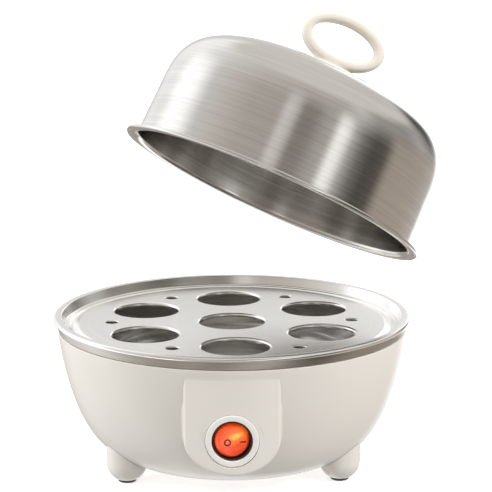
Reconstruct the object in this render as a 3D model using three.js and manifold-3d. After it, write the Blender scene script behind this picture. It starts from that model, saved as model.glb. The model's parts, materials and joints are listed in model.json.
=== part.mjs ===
// Egg cooker: a cream plastic bowl with a heated water pan, a stainless egg tray that lifts out and a
// stainless domed lid, shown lifted and tilted above the tray.
// Millimetres. +Z is up, -Y is the front (the switch side), and the origin is the centre of the bottom
// cover's underside. The feet reach below it.

import * as THREE from 'three';
import { mergeVertices } from 'three/addons/utils/BufferGeometryUtils.js';
import Module from 'manifold-3d';

// ---------------------------------------------------------------- driving dimensions

const GAP = 0.3; // clearance between touching pieces
const ROUND = 30; // facets round the large turned pieces
const FINE = 18; // facets round the small turned pieces

const RIM_RADIUS = 90.8; // outside of the tray's rolled rim
const RIM_TOP = 73; // top of the tray's rim
const SHEET = 0.8; // pressed steel thickness

const BOWL_RADIUS = 88.3; // outside of the bowl at its top edge
const BOWL_TOP = 66.8; // height of the bowl's top edge
const BOWL_WALL = 2.4;
const BOWL_SIDE_POWER = 6.6; // how upright the bowl's side is
const BOWL_FLOOR_POWER = 1.25; // how quickly the side turns into the floor

const FOOT_CIRCLE = 62; // the three feet stand on this radius
const FOOT_RADIUS = 10.2;
const FOOT_DROP = 5.1; // the feet reach this far below the bottom cover
const FOOT_ANGLES = { front_right: -30, rear: 90, front_left: 212.5 };

const COVER_RADIUS = 44.2;
const COVER_THICKNESS = 2.3;
const COVER_SCREW_CIRCLE = 40.4;
const COVER_SCREW_ANGLES = [30, 150, 270];

const BOSS_HALF_WIDTH = 22.7; // U-shaped switch boss
const BOSS_DROP = 16.7; // from the switch centre to the bottom of the U
const BOSS_TOP_RADIUS = 87.6; // the boss's face starts inside the bowl's wall, so it fades in downwards
const BOSS_TAPER = 0.063; // and leans out by this much per millimetre down
const SWITCH_HEIGHT = 32.9;
const BEZEL_RADIUS = 12.4;
const BEZEL_FACE = -89.3; // how far forward the bezel's face is
const POCKET_FLOOR = -87.3;
const SWITCH_RADIUS = 9.3;
const ROCKER_RADIUS = 8.25;
const ROCKER_TILT = 11; // each way from the middle
const CONTACT_TILT = 8;

const CORD_HEIGHT = 30;
const CORD_BOSS_RADIUS = 11;
const CORD_BOSS_FACE = 85.5;

const PAN_FLOOR = 44.9; // underside of the pan
const PAN_FLOOR_RADIUS = 52;
const CLAMP_LEVEL = 32.6; // underside of the bracket's arms
const ELEMENT_RADIUS = 36;

const EGG_CIRCLE = 50.5;
const EGG_SEAT_RADIUS = 16.5;
const STEAM_CIRCLE = 61;
const STEAM_RADIUS = 3.2;
const TRAY_TURN = 2; // the loose tray stands turned by this much, degrees

const LID_RADIUS = 80; // outside of the lid's flange
const LID_WALL_RADIUS = 74.6;
const LID_WALL_HEIGHT = 24; // where the upright wall becomes the dome
const LID_HEIGHT = 66.6;
const LID_DOME_POWER = 3.6; // how full the dome's shoulder is
const LID_CLOSED_LEVEL = 68.7; // underside of the lid's flange when the cooker is shut

// The lid is held in the hand, lifted and tilted about this line beyond the right rear of the base.
const LIFT_PIVOT = new THREE.Vector3(109.53, 70.35, 66.1);
const LIFT_AXIS = new THREE.Vector3(-0.5346, 0.8367, 0.1186).normalize();
const LIFT_ANGLE = 29.7;

// ---------------------------------------------------------------- finishes

const finish = (color, roughness, metalness) => ({ color, roughness, metalness });
const CREAM = finish(0xe9e3d8, 0.38, 0);
const CREAM_INNER = finish(0xded7ca, 0.5, 0);
const STEEL_BRUSHED = finish(0xb9b7b2, 0.32, 1);
const STEEL_POLISHED = finish(0xcfcdc8, 0.15, 1);
const ALUMINIUM = finish(0xb4b6b8, 0.45, 1);
const ZINC = finish(0x9fa3a6, 0.4, 1);
const BRASS = finish(0xb8963e, 0.35, 1);
const RUBBER = finish(0x4a4846, 0.85, 0);
const SILICONE = finish(0xd8d5cf, 0.6, 0);
const BLACK = finish(0x17130f, 0.4, 0);
const AMBER = finish(0xe8541c, 0.25, 0);
const LAMP_GLASS = finish(0xffc070, 0.1, 0);
const CERAMIC = finish(0xe4e0d6, 0.6, 0);
const LEAD_RED = finish(0x9c2f24, 0.5, 0);
const LEAD_BLUE = finish(0x2c4f86, 0.5, 0);
const LEAD_GREEN = finish(0x4f7a3a, 0.5, 0);

// ---------------------------------------------------------------- solid and profile helpers

const wasm = await Module();
wasm.setup();

const radians = THREE.MathUtils.degToRad;

// A closed geometry as a solid: its shared corners merged, empty facets dropped, faces pointing out.
function solid(geometry) {
  const bare = geometry.clone();
  bare.deleteAttribute('normal');
  bare.deleteAttribute('uv');
  const merged = mergeVertices(bare, 1e-4);
  const places = merged.attributes.position;
  const corners = [];
  let volume = 0;
  const a = new THREE.Vector3();
  const b = new THREE.Vector3();
  const c = new THREE.Vector3();
  for (let i = 0; i < merged.index.count; i += 3) {
    const face = [0, 1, 2].map((k) => merged.index.getX(i + k));
    if (new Set(face).size < 3) continue;
    corners.push(...face);
    a.fromBufferAttribute(places, face[0]);
    b.fromBufferAttribute(places, face[1]);
    c.fromBufferAttribute(places, face[2]);
    volume += a.dot(b.cross(c));
  }
  if (volume < 0) corners.reverse();
  const mesh = new wasm.Mesh({
    numProp: 3,
    vertProperties: new Float32Array(places.array),
    triVerts: new Uint32Array(corners),
  });
  return new wasm.Manifold(mesh);
}

const move = (x, y, z) => new THREE.Matrix4().makeTranslation(x, y, z);
const turnX = (degrees) => new THREE.Matrix4().makeRotationX(radians(degrees));
const turnY = (degrees) => new THREE.Matrix4().makeRotationY(radians(degrees));
const turnZ = (degrees) => new THREE.Matrix4().makeRotationZ(radians(degrees));
const placed = (geometry, ...steps) => solid(steps.reduce((g, step) => g.applyMatrix4(step), geometry));

// A profile of [radius, height] points turned about Z. It starts and ends on the axis, or closes.
function turned(profile, facets = ROUND, ...steps) {
  const onAxis = profile[0][0] === 0 && profile[profile.length - 1][0] === 0;
  const loop = onAxis ? profile : [...profile, profile[0]];
  const points = loop.map(([r, z]) => new THREE.Vector2(r, z));
  return placed(new THREE.LatheGeometry(points, facets), turnX(90), ...steps);
}

const disc = (radius, low, high, facets = FINE, ...steps) =>
  turned([[0, low], [radius, low], [radius, high], [0, high]], facets, ...steps);

const ring = (inner, outer, low, high, facets = FINE, ...steps) =>
  turned([[inner, low], [outer, low], [outer, high], [inner, high]], facets, ...steps);

// A rod along Y between two places, its axis at x, z.
const rodY = (radius, y0, y1, x, z, facets = FINE) =>
  disc(radius, -y1, -y0, facets, turnX(90), move(x, 0, z));

function block(x0, x1, y0, y1, z0, z1, ...steps) {
  const box = new THREE.BoxGeometry(x1 - x0, y1 - y0, z1 - z0);
  return placed(box, move((x0 + x1) / 2, (y0 + y1) / 2, (z0 + z1) / 2), ...steps);
}

const stepped = (shape, steps) => steps.reduce((moved, step) => moved.transform(step.elements), shape);
const union = (first, ...rest) => rest.reduce((sum, piece) => sum.add(piece), first);
const cut = (first, ...rest) => rest.reduce((left, piece) => left.subtract(piece), first);

// Evenly spaced points of an arc, angles in degrees.
function arc(cx, cy, rx, ry, from, to, steps) {
  return Array.from({ length: steps + 1 }, (_, i) => {
    const angle = radians(from + ((to - from) * i) / steps);
    return [cx + rx * Math.cos(angle), cy + ry * Math.sin(angle)];
  });
}

// A round bar along a smooth curve through the given points.
function bar(points, radius, steps, sides, ...moves) {
  const curve = new THREE.CatmullRomCurve3(points.map((p) => new THREE.Vector3(...p)));
  return barAlong(curve, radius, steps, sides, ...moves);
}

function barAlong(curve, radius, steps, sides, ...moves) {
  const section = new THREE.Shape(arc(0, 0, radius, radius, 0, 360, sides)
    .slice(0, -1).map(([x, y]) => new THREE.Vector2(x, y)));
  const geometry = new THREE.ExtrudeGeometry(section, { steps, extrudePath: curve, bevelEnabled: false });
  return placed(geometry, ...moves);
}

const aroundZ = (radius, degrees) => [radius * Math.cos(radians(degrees)), radius * Math.sin(radians(degrees))];

// ---------------------------------------------------------------- assembly

const eggCooker = new THREE.Group();
const lidGroup = new THREE.Group();
eggCooker.add(lidGroup);

function piece(name, shape, look, parent = eggCooker) {
  const { vertProperties, triVerts, numProp } = shape.getMesh();
  const geometry = new THREE.BufferGeometry();
  const corners = new Float32Array((vertProperties.length / numProp) * 3);
  for (let i = 0; i < corners.length / 3; i += 1) {
    corners.set(vertProperties.subarray(i * numProp, i * numProp + 3), i * 3);
  }
  geometry.setAttribute('position', new THREE.BufferAttribute(corners, 3));
  geometry.setIndex(new THREE.BufferAttribute(new Uint32Array(triVerts), 1));
  geometry.computeVertexNormals();
  const mesh = new THREE.Mesh(geometry, new THREE.MeshStandardMaterial(look));
  mesh.name = name;
  parent.add(mesh);
  return mesh;
}

// ---------------------------------------------------------------- bowl housing

// The bowl's outline is a superellipse, upright at the top and flat at the bottom.
function bowlOutline(inset) {
  const radius = BOWL_RADIUS - inset;
  const depth = BOWL_TOP - inset;
  const angles = [90, 87, 83, 77, 69, 60, 50, 39, 26, 0];
  return angles.map((degrees) => {
    const across = Math.max(Math.cos(radians(degrees)), 0);
    const down = Math.sin(radians(degrees));
    const r = degrees === 90 ? 0 : radius * across ** (2 / BOWL_SIDE_POWER);
    return [r, BOWL_TOP - depth * down ** (2 / BOWL_FLOOR_POWER)];
  });
}

// The bowl's whole body, shrunk by the inset and cut off level at the top.
const bowlBody = (inset, top) =>
  turned([...bowlOutline(inset), [0, BOWL_TOP]]).intersect(disc(BOWL_RADIUS + 2, -5, top, ROUND));

// The U outline of the switch boss, seen from the front, as a prism along Y.
function bossPrism(inset, top) {
  const half = BOSS_HALF_WIDTH - inset;
  const outline = [[half, top], [-half, top], ...arc(0, SWITCH_HEIGHT, half, BOSS_DROP - inset, 180, 360, 10)];
  const shape = new THREE.Shape(outline.map(([x, z]) => new THREE.Vector2(x, z)));
  const depth = 60;
  const geometry = new THREE.ExtrudeGeometry(shape, { depth, bevelEnabled: false });
  return placed(geometry, turnX(90), move(0, -BOWL_RADIUS / 2, 0));
}

// The cone that the boss's face lies on, concentric with the bowl.
function bossCone(inset) {
  const top = BOWL_TOP - 2;
  const low = 5;
  const lowRadius = BOSS_TOP_RADIUS + (top - low) * BOSS_TAPER;
  return turned([[0, low], [lowRadius - inset, low], [BOSS_TOP_RADIUS - inset, top], [0, top]], 60);
}

const SHELF_TOP = BOWL_TOP - 4.2; // the pan hangs on this shelf
const SHELF_RADIUS = 79.5;
const LIP_RADIUS = 86; // inside of the bowl's top lip
const POST_RADIUS = 5.5;
const POST_TOP = CLAMP_LEVEL - GAP;
const LEDGE_RADIUS = 37.5;
const LEDGE_TOP = 5;

function bowlHousing() {
  const bossOuter = bossPrism(0, BOWL_TOP - 3).intersect(bossCone(0));
  const bossInner = bossPrism(BOWL_WALL, BOWL_TOP - 9).intersect(bossCone(BOWL_WALL));
  const cordOuter = rodY(CORD_BOSS_RADIUS, 60, CORD_BOSS_FACE, 0, CORD_HEIGHT);
  const cordInner = rodY(CORD_BOSS_RADIUS - BOWL_WALL, 60, CORD_BOSS_FACE - BOWL_WALL, 0, CORD_HEIGHT);
  const outer = union(bowlBody(0, BOWL_TOP - 1), bossOuter, cordOuter);
  const hollow = union(
    bowlBody(BOWL_WALL, BOWL_TOP - 6),
    bossInner,
    cordInner,
    disc(SHELF_RADIUS, BOWL_TOP - 7, BOWL_TOP + 1, ROUND),
    disc(LIP_RADIUS, SHELF_TOP, BOWL_TOP + 1, ROUND),
  );
  const shell = cut(outer, hollow, disc(COVER_RADIUS + GAP, -1, COVER_THICKNESS + GAP, ROUND));

  const inside = bowlBody(BOWL_WALL / 2, BOWL_TOP - 6);
  const posts = Object.values(FOOT_ANGLES).map((angle) => {
    const [x, y] = aroundZ(FOOT_CIRCLE, angle);
    return disc(POST_RADIUS, 4, POST_TOP, 12, move(x, y, 0)).intersect(inside);
  });
  const ledge = ring(LEDGE_RADIUS, COVER_RADIUS + 8, COVER_THICKNESS + GAP, LEDGE_TOP, ROUND).intersect(inside);
  const coverBosses = COVER_SCREW_ANGLES.map((angle) => {
    const [x, y] = aroundZ(COVER_SCREW_CIRCLE, angle);
    return disc(4, LEDGE_TOP - 1, 10, 10, move(x, y, 0));
  });
  const switchPad = rodY(BEZEL_RADIUS + 2.6, POCKET_FLOOR - 1, POCKET_FLOOR + 2.4, 0, SWITCH_HEIGHT);
  const body = union(shell, ...posts, ledge, ...coverBosses, switchPad);

  const drilled = Object.values(FOOT_ANGLES).flatMap((angle) => {
    const [x, y] = aroundZ(FOOT_CIRCLE, angle);
    return [
      disc(1.5, POST_TOP - 10, POST_TOP + 1, 12, move(x, y, 0)),
      disc(1.5, 0, POST_TOP - 14, 12, move(x, y, 0)),
    ];
  });
  const pilots = COVER_SCREW_ANGLES.map((angle) => {
    const [x, y] = aroundZ(COVER_SCREW_CIRCLE, angle);
    return disc(1.5, 0, 9, 12, move(x, y, 0));
  });
  return cut(
    body,
    ...drilled,
    ...pilots,
    rodY(BEZEL_RADIUS + GAP, -100, POCKET_FLOOR, 0, SWITCH_HEIGHT, 24),
    rodY(SWITCH_RADIUS + GAP, -100, -70, 0, SWITCH_HEIGHT, 24),
    rodY(5.5, 70, 95, 0, CORD_HEIGHT),
  );
}

piece('bowl_housing', bowlHousing(), CREAM);

// ---------------------------------------------------------------- bottom cover, feet and their screws

const SCREW_SHANK = 1.3;

// A slotted screw pointing up: the head's face at z = 0, the shank above it.
function screwUp(headRadius, headHeight, length, ...steps) {
  const turnedBody = turned([
    [0, 0],
    [headRadius, 0],
    [headRadius, headHeight * 0.6],
    [headRadius * 0.85, headHeight],
    [SCREW_SHANK, headHeight],
    [SCREW_SHANK, length - 1],
    [0, length],
  ], 10);
  const slot = block(-headRadius * 0.6, headRadius * 0.6, -0.35, 0.35, -1, headHeight * 0.45);
  return stepped(cut(turnedBody, slot), steps);
}

function bottomCover() {
  const plate = turned([
    [0, 0],
    [COVER_RADIUS - 0.6, 0],
    [COVER_RADIUS, 0.6],
    [COVER_RADIUS, COVER_THICKNESS],
    [0, COVER_THICKNESS],
  ]);
  const holes = COVER_SCREW_ANGLES.flatMap((angle) => {
    const [x, y] = aroundZ(COVER_SCREW_CIRCLE, angle);
    const recess = disc(3.3, -1, 1.2, 16, move(x, y, 0));
    return [recess, disc(SCREW_SHANK + GAP, -1, 5, 12, move(x, y, 0))];
  });
  const vents = [0, 60, 120, 180, 240, 300].map((angle) =>
    block(15, 29, -1.4, 1.4, -1, 5, turnZ(angle)));
  return cut(plate, ...holes, ...vents);
}

piece('bottom_cover', bottomCover(), CREAM_INNER);

COVER_SCREW_ANGLES.forEach((angle, i) => {
  const [x, y] = aroundZ(COVER_SCREW_CIRCLE, angle);
  piece(`cover_screw_${i + 1}`, screwUp(2.8, 0.9, 8, move(x, y, 0)), ZINC);
});

const PAD_RADIUS = 4.6;
const PAD_THICKNESS = 1.4;
const FOOT_SHOULDER = 4.9; // above this the foot is a straight cylinder

// The foot is a rounded stub whose top follows the underside of the bowl.
function foot(angle) {
  const [x, y] = aroundZ(FOOT_CIRCLE, angle);
  const drop = FOOT_SHOULDER + FOOT_DROP;
  const rounding = arc(0, FOOT_SHOULDER, FOOT_RADIUS, drop, -56, 0, 5);
  const stub = turned([[0, rounding[0][1]], ...rounding, [FOOT_RADIUS, 26], [0, 26]], FINE, move(x, y, 0));
  return cut(
    stub,
    bowlBody(-GAP, BOWL_TOP),
    disc(COVER_RADIUS + GAP, -1, 5, ROUND),
    disc(PAD_RADIUS + GAP, -FOOT_DROP - 1, -FOOT_DROP + PAD_THICKNESS + GAP, 16, move(x, y, 0)),
    disc(3.1, -FOOT_DROP, -0.6, 16, move(x, y, 0)),
    disc(SCREW_SHANK + GAP, -5, 20, 12, move(x, y, 0)),
  );
}

for (const [place, angle] of Object.entries(FOOT_ANGLES)) {
  const [x, y] = aroundZ(FOOT_CIRCLE, angle);
  const head = -FOOT_DROP + PAD_THICKNESS + GAP + 0.3;
  piece(`foot_${place}`, foot(angle), CREAM);
  piece(`foot_screw_${place}`, screwUp(2.7, 1.8, 18, move(x, y, head)), ZINC);
  const pad = turned([
    [0, -FOOT_DROP],
    [PAD_RADIUS - 0.8, -FOOT_DROP],
    [PAD_RADIUS, -FOOT_DROP + 0.8],
    [PAD_RADIUS, -FOOT_DROP + PAD_THICKNESS],
    [0, -FOOT_DROP + PAD_THICKNESS],
  ], 16, move(x, y, 0));
  piece(`foot_pad_${place}`, pad, RUBBER);
}

// ---------------------------------------------------------------- rim band, pan and its gasket

const BAND_TOP = RIM_TOP - 1.2;
const BAND_OUTER = 88;
const BAND_INNER = BAND_OUTER - SHEET;
const BAND_SEAT = BAND_INNER - 0.7; // the band's turned-in foot lies on the bowl's lip
piece('trim_band', turned([
  [BAND_SEAT, BOWL_TOP - 0.7],
  [BAND_OUTER - 0.1, BOWL_TOP - 0.7],
  [BAND_OUTER, BOWL_TOP],
  [BAND_OUTER - 0.1, BAND_TOP],
  [BAND_INNER, BAND_TOP],
  [BAND_INNER, BOWL_TOP + 0.2],
  [BAND_SEAT, BOWL_TOP + 0.2],
]), STEEL_BRUSHED);

const PAN_FLANGE = SHELF_TOP + 2.1; // underside of the pan's flange
const PAN_FLANGE_RADIUS = 85.4;

function heatingPan() {
  const corner = 12;
  const wallTop = [78.4, PAN_FLANGE - 0.6];
  const outer = [
    [0, PAN_FLOOR],
    ...arc(PAN_FLOOR_RADIUS, PAN_FLOOR + corner, corner, corner, -90, -25, 3),
    wallTop,
    [79.2, PAN_FLANGE],
    [PAN_FLANGE_RADIUS, PAN_FLANGE],
  ];
  const inner = [
    [PAN_FLANGE_RADIUS, PAN_FLANGE + SHEET],
    [78.6, PAN_FLANGE + SHEET],
    [wallTop[0] - SHEET, wallTop[1] + 0.2],
    ...arc(PAN_FLOOR_RADIUS, PAN_FLOOR + corner, corner - SHEET, corner - SHEET, -25, -90, 3),
    [0, PAN_FLOOR + SHEET],
  ];
  return turned([...outer, ...inner]);
}

piece('heating_pan', heatingPan(), STEEL_POLISHED);
piece('pan_gasket', ring(80.2, 85, SHELF_TOP + GAP, PAN_FLANGE - GAP, ROUND), SILICONE);

// ---------------------------------------------------------------- heater stack under the pan

const SPREADER_TOP = PAN_FLOOR - GAP;
const SPREADER_BOTTOM = SPREADER_TOP - 3;
piece('heat_spreader', turned([
  [0, SPREADER_BOTTOM],
  [48, SPREADER_BOTTOM],
  [50, SPREADER_BOTTOM + 1],
  [50, SPREADER_TOP],
  [0, SPREADER_TOP],
]), ALUMINIUM);

const ELEMENT_TUBE = 3.3;
const ELEMENT_HALF_GAP = 22; // degrees each side of the front
const ELEMENT_LEVEL = SPREADER_BOTTOM - GAP - ELEMENT_TUBE;

function heatingElement() {
  const from = radians(-90 + ELEMENT_HALF_GAP);
  const sweep = radians(360 - 2 * ELEMENT_HALF_GAP);
  class ElementRing extends THREE.Curve {
    getPoint(t, target = new THREE.Vector3()) {
      const angle = from + sweep * t;
      return target.set(ELEMENT_RADIUS * Math.cos(angle), ELEMENT_RADIUS * Math.sin(angle), ELEMENT_LEVEL);
    }
  }
  const coldEnds = [-90 - ELEMENT_HALF_GAP, -90 + ELEMENT_HALF_GAP].map((angle) => {
    const [x, y] = aroundZ(ELEMENT_RADIUS, angle);
    return disc(2.4, ELEMENT_LEVEL - 10, ELEMENT_LEVEL + 2, 10, move(x, y, 0));
  });
  return union(barAlong(new ElementRing(), ELEMENT_TUBE, 24, 8), ...coldEnds);
}

piece('heating_element', heatingElement(), ZINC);

const BRACKET_THICKNESS = 1.5;
const BRACKET_TOP = CLAMP_LEVEL + BRACKET_THICKNESS;
const STUD_RADIUS = 3;

function elementBracket() {
  const hub = disc(10, CLAMP_LEVEL, BRACKET_TOP, FINE);
  const arms = Object.values(FOOT_ANGLES).map((angle) =>
    block(0, FOOT_CIRCLE + 6, -6, 6, CLAMP_LEVEL, BRACKET_TOP, turnZ(angle)));
  const holes = Object.values(FOOT_ANGLES).map((angle) => {
    const [x, y] = aroundZ(FOOT_CIRCLE, angle);
    return disc(SCREW_SHANK + GAP, CLAMP_LEVEL - 1, BRACKET_TOP + 1, 12, move(x, y, 0));
  });
  const centre = disc(STUD_RADIUS + GAP, CLAMP_LEVEL - 1, BRACKET_TOP + 1, 16);
  return cut(union(hub, ...arms), ...holes, centre);
}

piece('element_bracket', elementBracket(), ZINC);

Object.values(FOOT_ANGLES).forEach((angle, i) => {
  const [x, y] = aroundZ(FOOT_CIRCLE, angle);
  const screw = screwUp(2.9, 2, 10, turnX(180), move(x, y, BRACKET_TOP + 2.3));
  piece(`bracket_screw_${i + 1}`, screw, ZINC);
});

piece('clamp_stud', disc(STUD_RADIUS, CLAMP_LEVEL - 8, SPREADER_BOTTOM - GAP, 16), ZINC);
piece('clamp_nut', cut(
  disc(5.8, CLAMP_LEVEL - 5.3, CLAMP_LEVEL - GAP, 6),
  disc(STUD_RADIUS + GAP, 0, CLAMP_LEVEL, 16),
), ZINC);

const THERMOSTAT_Y = -18.3;
const THERMOSTAT_BOTTOM = 32;
piece('thermostat', union(
  disc(7.5, THERMOSTAT_BOTTOM + 2, SPREADER_BOTTOM - GAP, FINE, move(0, THERMOSTAT_Y, 0)),
  block(-5, 5, THERMOSTAT_Y - 3, THERMOSTAT_Y + 3, THERMOSTAT_BOTTOM, THERMOSTAT_BOTTOM + 3),
), CERAMIC);
piece('thermostat_clip', union(
  block(-4, 4, THERMOSTAT_Y - 4, -6.3, THERMOSTAT_BOTTOM - 1.1, THERMOSTAT_BOTTOM - GAP),
  block(-4, 4, THERMOSTAT_Y - 4, THERMOSTAT_Y - 3.3, THERMOSTAT_BOTTOM - 1.1, THERMOSTAT_BOTTOM + 1.5),
), ZINC);

const FUSE_ANGLE = 150;
const FUSE_CIRCLE = 20;
const FUSE_LEVEL = 38.6;
const FUSE_RADIUS = 2;

// Places a piece made at the origin along X, across the radius at the fuse's angle.
const fusePlace = [turnZ(FUSE_ANGLE - 90), move(...aroundZ(FUSE_CIRCLE, FUSE_ANGLE), FUSE_LEVEL)];
const alongX = turnY(90);
piece('thermal_fuse', union(
  disc(FUSE_RADIUS, -5, 5, 14, alongX, ...fusePlace),
  disc(0.6, -8, 8, 8, alongX, ...fusePlace),
), ZINC);

function fuseClip() {
  const inner = FUSE_RADIUS + GAP;
  const outer = inner + 0.6;
  const ears = SPREADER_BOTTOM - GAP - FUSE_LEVEL;
  const outline = [
    [-outer - 3, ears], [-inner, ears], ...arc(0, 0, inner, inner, 180, 360, 8), [inner, ears],
    [outer + 3, ears], [outer + 3, ears - 0.6], [outer, ears - 0.6],
    ...arc(0, 0, outer, outer, 0, -180, 8), [-outer, ears - 0.6], [-outer - 3, ears - 0.6],
  ];
  const shape = new THREE.Shape(outline.map(([u, v]) => new THREE.Vector2(u, v)));
  const strip = new THREE.ExtrudeGeometry(shape, { depth: 5, bevelEnabled: false });
  return placed(strip, move(0, 0, -2.5), turnX(90), turnZ(90), ...fusePlace);
}

piece('fuse_clip', fuseClip(), ZINC);

// ---------------------------------------------------------------- switch

function switchBezel() {
  const back = POCKET_FLOOR - GAP;
  const flange = BEZEL_FACE;
  const profile = [
    [SWITCH_RADIUS + GAP, back],
    [BEZEL_RADIUS, back],
    [BEZEL_RADIUS, flange + 0.7],
    [BEZEL_RADIUS - 0.8, flange],
    [SWITCH_RADIUS + 0.9, flange],
    [SWITCH_RADIUS + GAP, flange + 0.6],
  ];
  return turned(profile.map(([r, y]) => [r, -y]), 24, turnX(90), move(0, 0, SWITCH_HEIGHT));
}

piece('switch_bezel', switchBezel(), CREAM);

const BODY_FRONT = -88.6;
const BODY_BACK = -66;
const ROCKER_PIVOT = -87.2;

function switchBody() {
  const barrel = rodY(SWITCH_RADIUS, BODY_FRONT, BODY_BACK, 0, SWITCH_HEIGHT, 24);
  return cut(
    barrel,
    rodY(ROCKER_RADIUS + 0.45, -95, -83.6, 0, SWITCH_HEIGHT, 24),
    rodY(7.6, -84, -69, 0, SWITCH_HEIGHT),
    disc(1.2, SWITCH_HEIGHT - 12, SWITCH_HEIGHT + 12, 12, move(0, ROCKER_PIVOT, 0)),
  );
}

piece('switch_body', switchBody(), BLACK);

// The rocker at its middle position: a shallow dome with a stem behind it and pivot pins above and below.
function rocker() {
  const dome = turned([
    [0, 86],
    [ROCKER_RADIUS - 0.3, 86],
    [ROCKER_RADIUS, 86.4],
    [ROCKER_RADIUS, 88.3],
    [ROCKER_RADIUS - 0.5, 88.8],
    [4, 89.1],
    [0, 89.2],
  ], 24, turnX(90), move(0, 0, SWITCH_HEIGHT));
  const stem = block(-1.7, 1.7, -86.5, -75, SWITCH_HEIGHT - 3, SWITCH_HEIGHT + 3);
  const pins = disc(0.9, SWITCH_HEIGHT - 8.9, SWITCH_HEIGHT + 8.9, 10, move(0, ROCKER_PIVOT, 0));
  return union(dome, stem, pins);
}

const aboutVertical = (y, degrees) => [move(0, -y, 0), turnZ(degrees), move(0, y, 0)];

piece('switch_rocker', stepped(rocker(), aboutVertical(ROCKER_PIVOT, ROCKER_TILT)), AMBER);

const CONTACT_Y = -72.2;
const contactStrip = block(-5.5, 5.5, CONTACT_Y - 0.4, CONTACT_Y + 0.4, SWITCH_HEIGHT - 2, SWITCH_HEIGHT + 2);
piece('switch_contact', stepped(contactStrip, aboutVertical(CONTACT_Y, -CONTACT_TILT)), BRASS);

piece('switch_lamp', union(
  disc(1.5, SWITCH_HEIGHT - 3, SWITCH_HEIGHT + 2.5, 12, move(5, -79.5, 0)),
  disc(0.7, SWITCH_HEIGHT - 4, SWITCH_HEIGHT - 2, 8, move(5, -79.5, 0)),
), LAMP_GLASS);

const TAB_X = 4;
[-TAB_X, TAB_X].forEach((x, i) => {
  const tab = block(x - 0.4, x + 0.4, BODY_BACK + GAP, -58.6, SWITCH_HEIGHT - 2.4, SWITCH_HEIGHT + 2.4);
  piece(`switch_terminal_${i + 1}`, tab, BRASS);
});

// ---------------------------------------------------------------- wiring

const BLOCK_FRONT = 20;
function terminalBlock() {
  const base = block(-13, 13, BLOCK_FRONT, BLOCK_FRONT + 11, COVER_THICKNESS + GAP, 12);
  const slots = [-4.3, 4.3].map((x) => block(x - 0.6, x + 0.6, BLOCK_FRONT - 1, BLOCK_FRONT + 12, 6, 13));
  const screws = [-8.6, 0, 8.6].map((x) => disc(1.8, 9, 13, 10, move(x, BLOCK_FRONT + 5.5, 0)));
  return cut(base, ...slots, ...screws);
}

piece('terminal_block', terminalBlock(), CERAMIC);

const LEAD_RADIUS = 1.1;
const [pinX, pinY] = aroundZ(ELEMENT_RADIUS, -90 + ELEMENT_HALF_GAP);
const pinEnd = ELEMENT_LEVEL - 10.4;
const tabEnd = -57.3;
const fuseEnd = (side) => {
  const [x, y] = aroundZ(FUSE_CIRCLE, FUSE_ANGLE);
  const [dx, dy] = aroundZ(9.6 * side, FUSE_ANGLE - 90);
  return [x + dx, y + dy, FUSE_LEVEL];
};
const leads = {
  lead_switch_feed: [LEAD_RED, [
    [-8.6, BLOCK_FRONT - 0.6, 8], [-17, 4, 8], [-25, -30, 14], [-14, -50, 28], [-TAB_X, tabEnd, SWITCH_HEIGHT],
  ]],
  lead_thermostat: [LEAD_RED, [
    [TAB_X, tabEnd, SWITCH_HEIGHT], [7, -48, 26], [6, -34, 22], [7, -23, 25], [7, THERMOSTAT_Y, 31],
  ]],
  lead_element: [LEAD_RED, [
    [-7, THERMOSTAT_Y, 31], [-7, -22, 25], [-10, -29, 19], [-pinX, pinY, 22], [-pinX, pinY, pinEnd],
  ]],
  lead_fuse: [LEAD_BLUE, [
    [pinX, pinY, pinEnd], [pinX, pinY, 20], [15, -12, 15], [0, 10, 17], [-11, 18, 28], fuseEnd(1),
  ]],
  lead_return: [LEAD_BLUE, [
    fuseEnd(-1), [-26, 2, 30], [-26, 8, 18], [-20, 22, 9], [-13.6, BLOCK_FRONT + 5.5, 8],
  ]],
  lead_earth: [LEAD_GREEN, [
    [8.6, BLOCK_FRONT - 0.6, 8], [17, 8, 12], [30, -8, 22], [35, -20.2, CLAMP_LEVEL - 1.4],
  ]],
};
for (const [name, [look, route]] of Object.entries(leads)) {
  piece(name, bar(route, LEAD_RADIUS, 14, 6), look);
}

function cordGland() {
  const flangeBack = CORD_BOSS_FACE + GAP;
  const profile = [
    [3.4, CORD_BOSS_FACE - 6],
    [5.2, CORD_BOSS_FACE - 6],
    [5.2, flangeBack],
    [8.5, flangeBack],
    [8.5, flangeBack + 1.2],
    [6.6, flangeBack + 3],
    [3.4, flangeBack + 3],
  ];
  return turned(profile, FINE, turnX(-90), move(0, 0, CORD_HEIGHT));
}

piece('cord_gland', cordGland(), BLACK);

// ---------------------------------------------------------------- egg tray

const TRAY_PLATE = RIM_TOP - 4.6;
const TRAY_LEDGE = RIM_TOP - 5.1;
const TRAY_GROOVE = RIM_TOP - 5.8;

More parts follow.
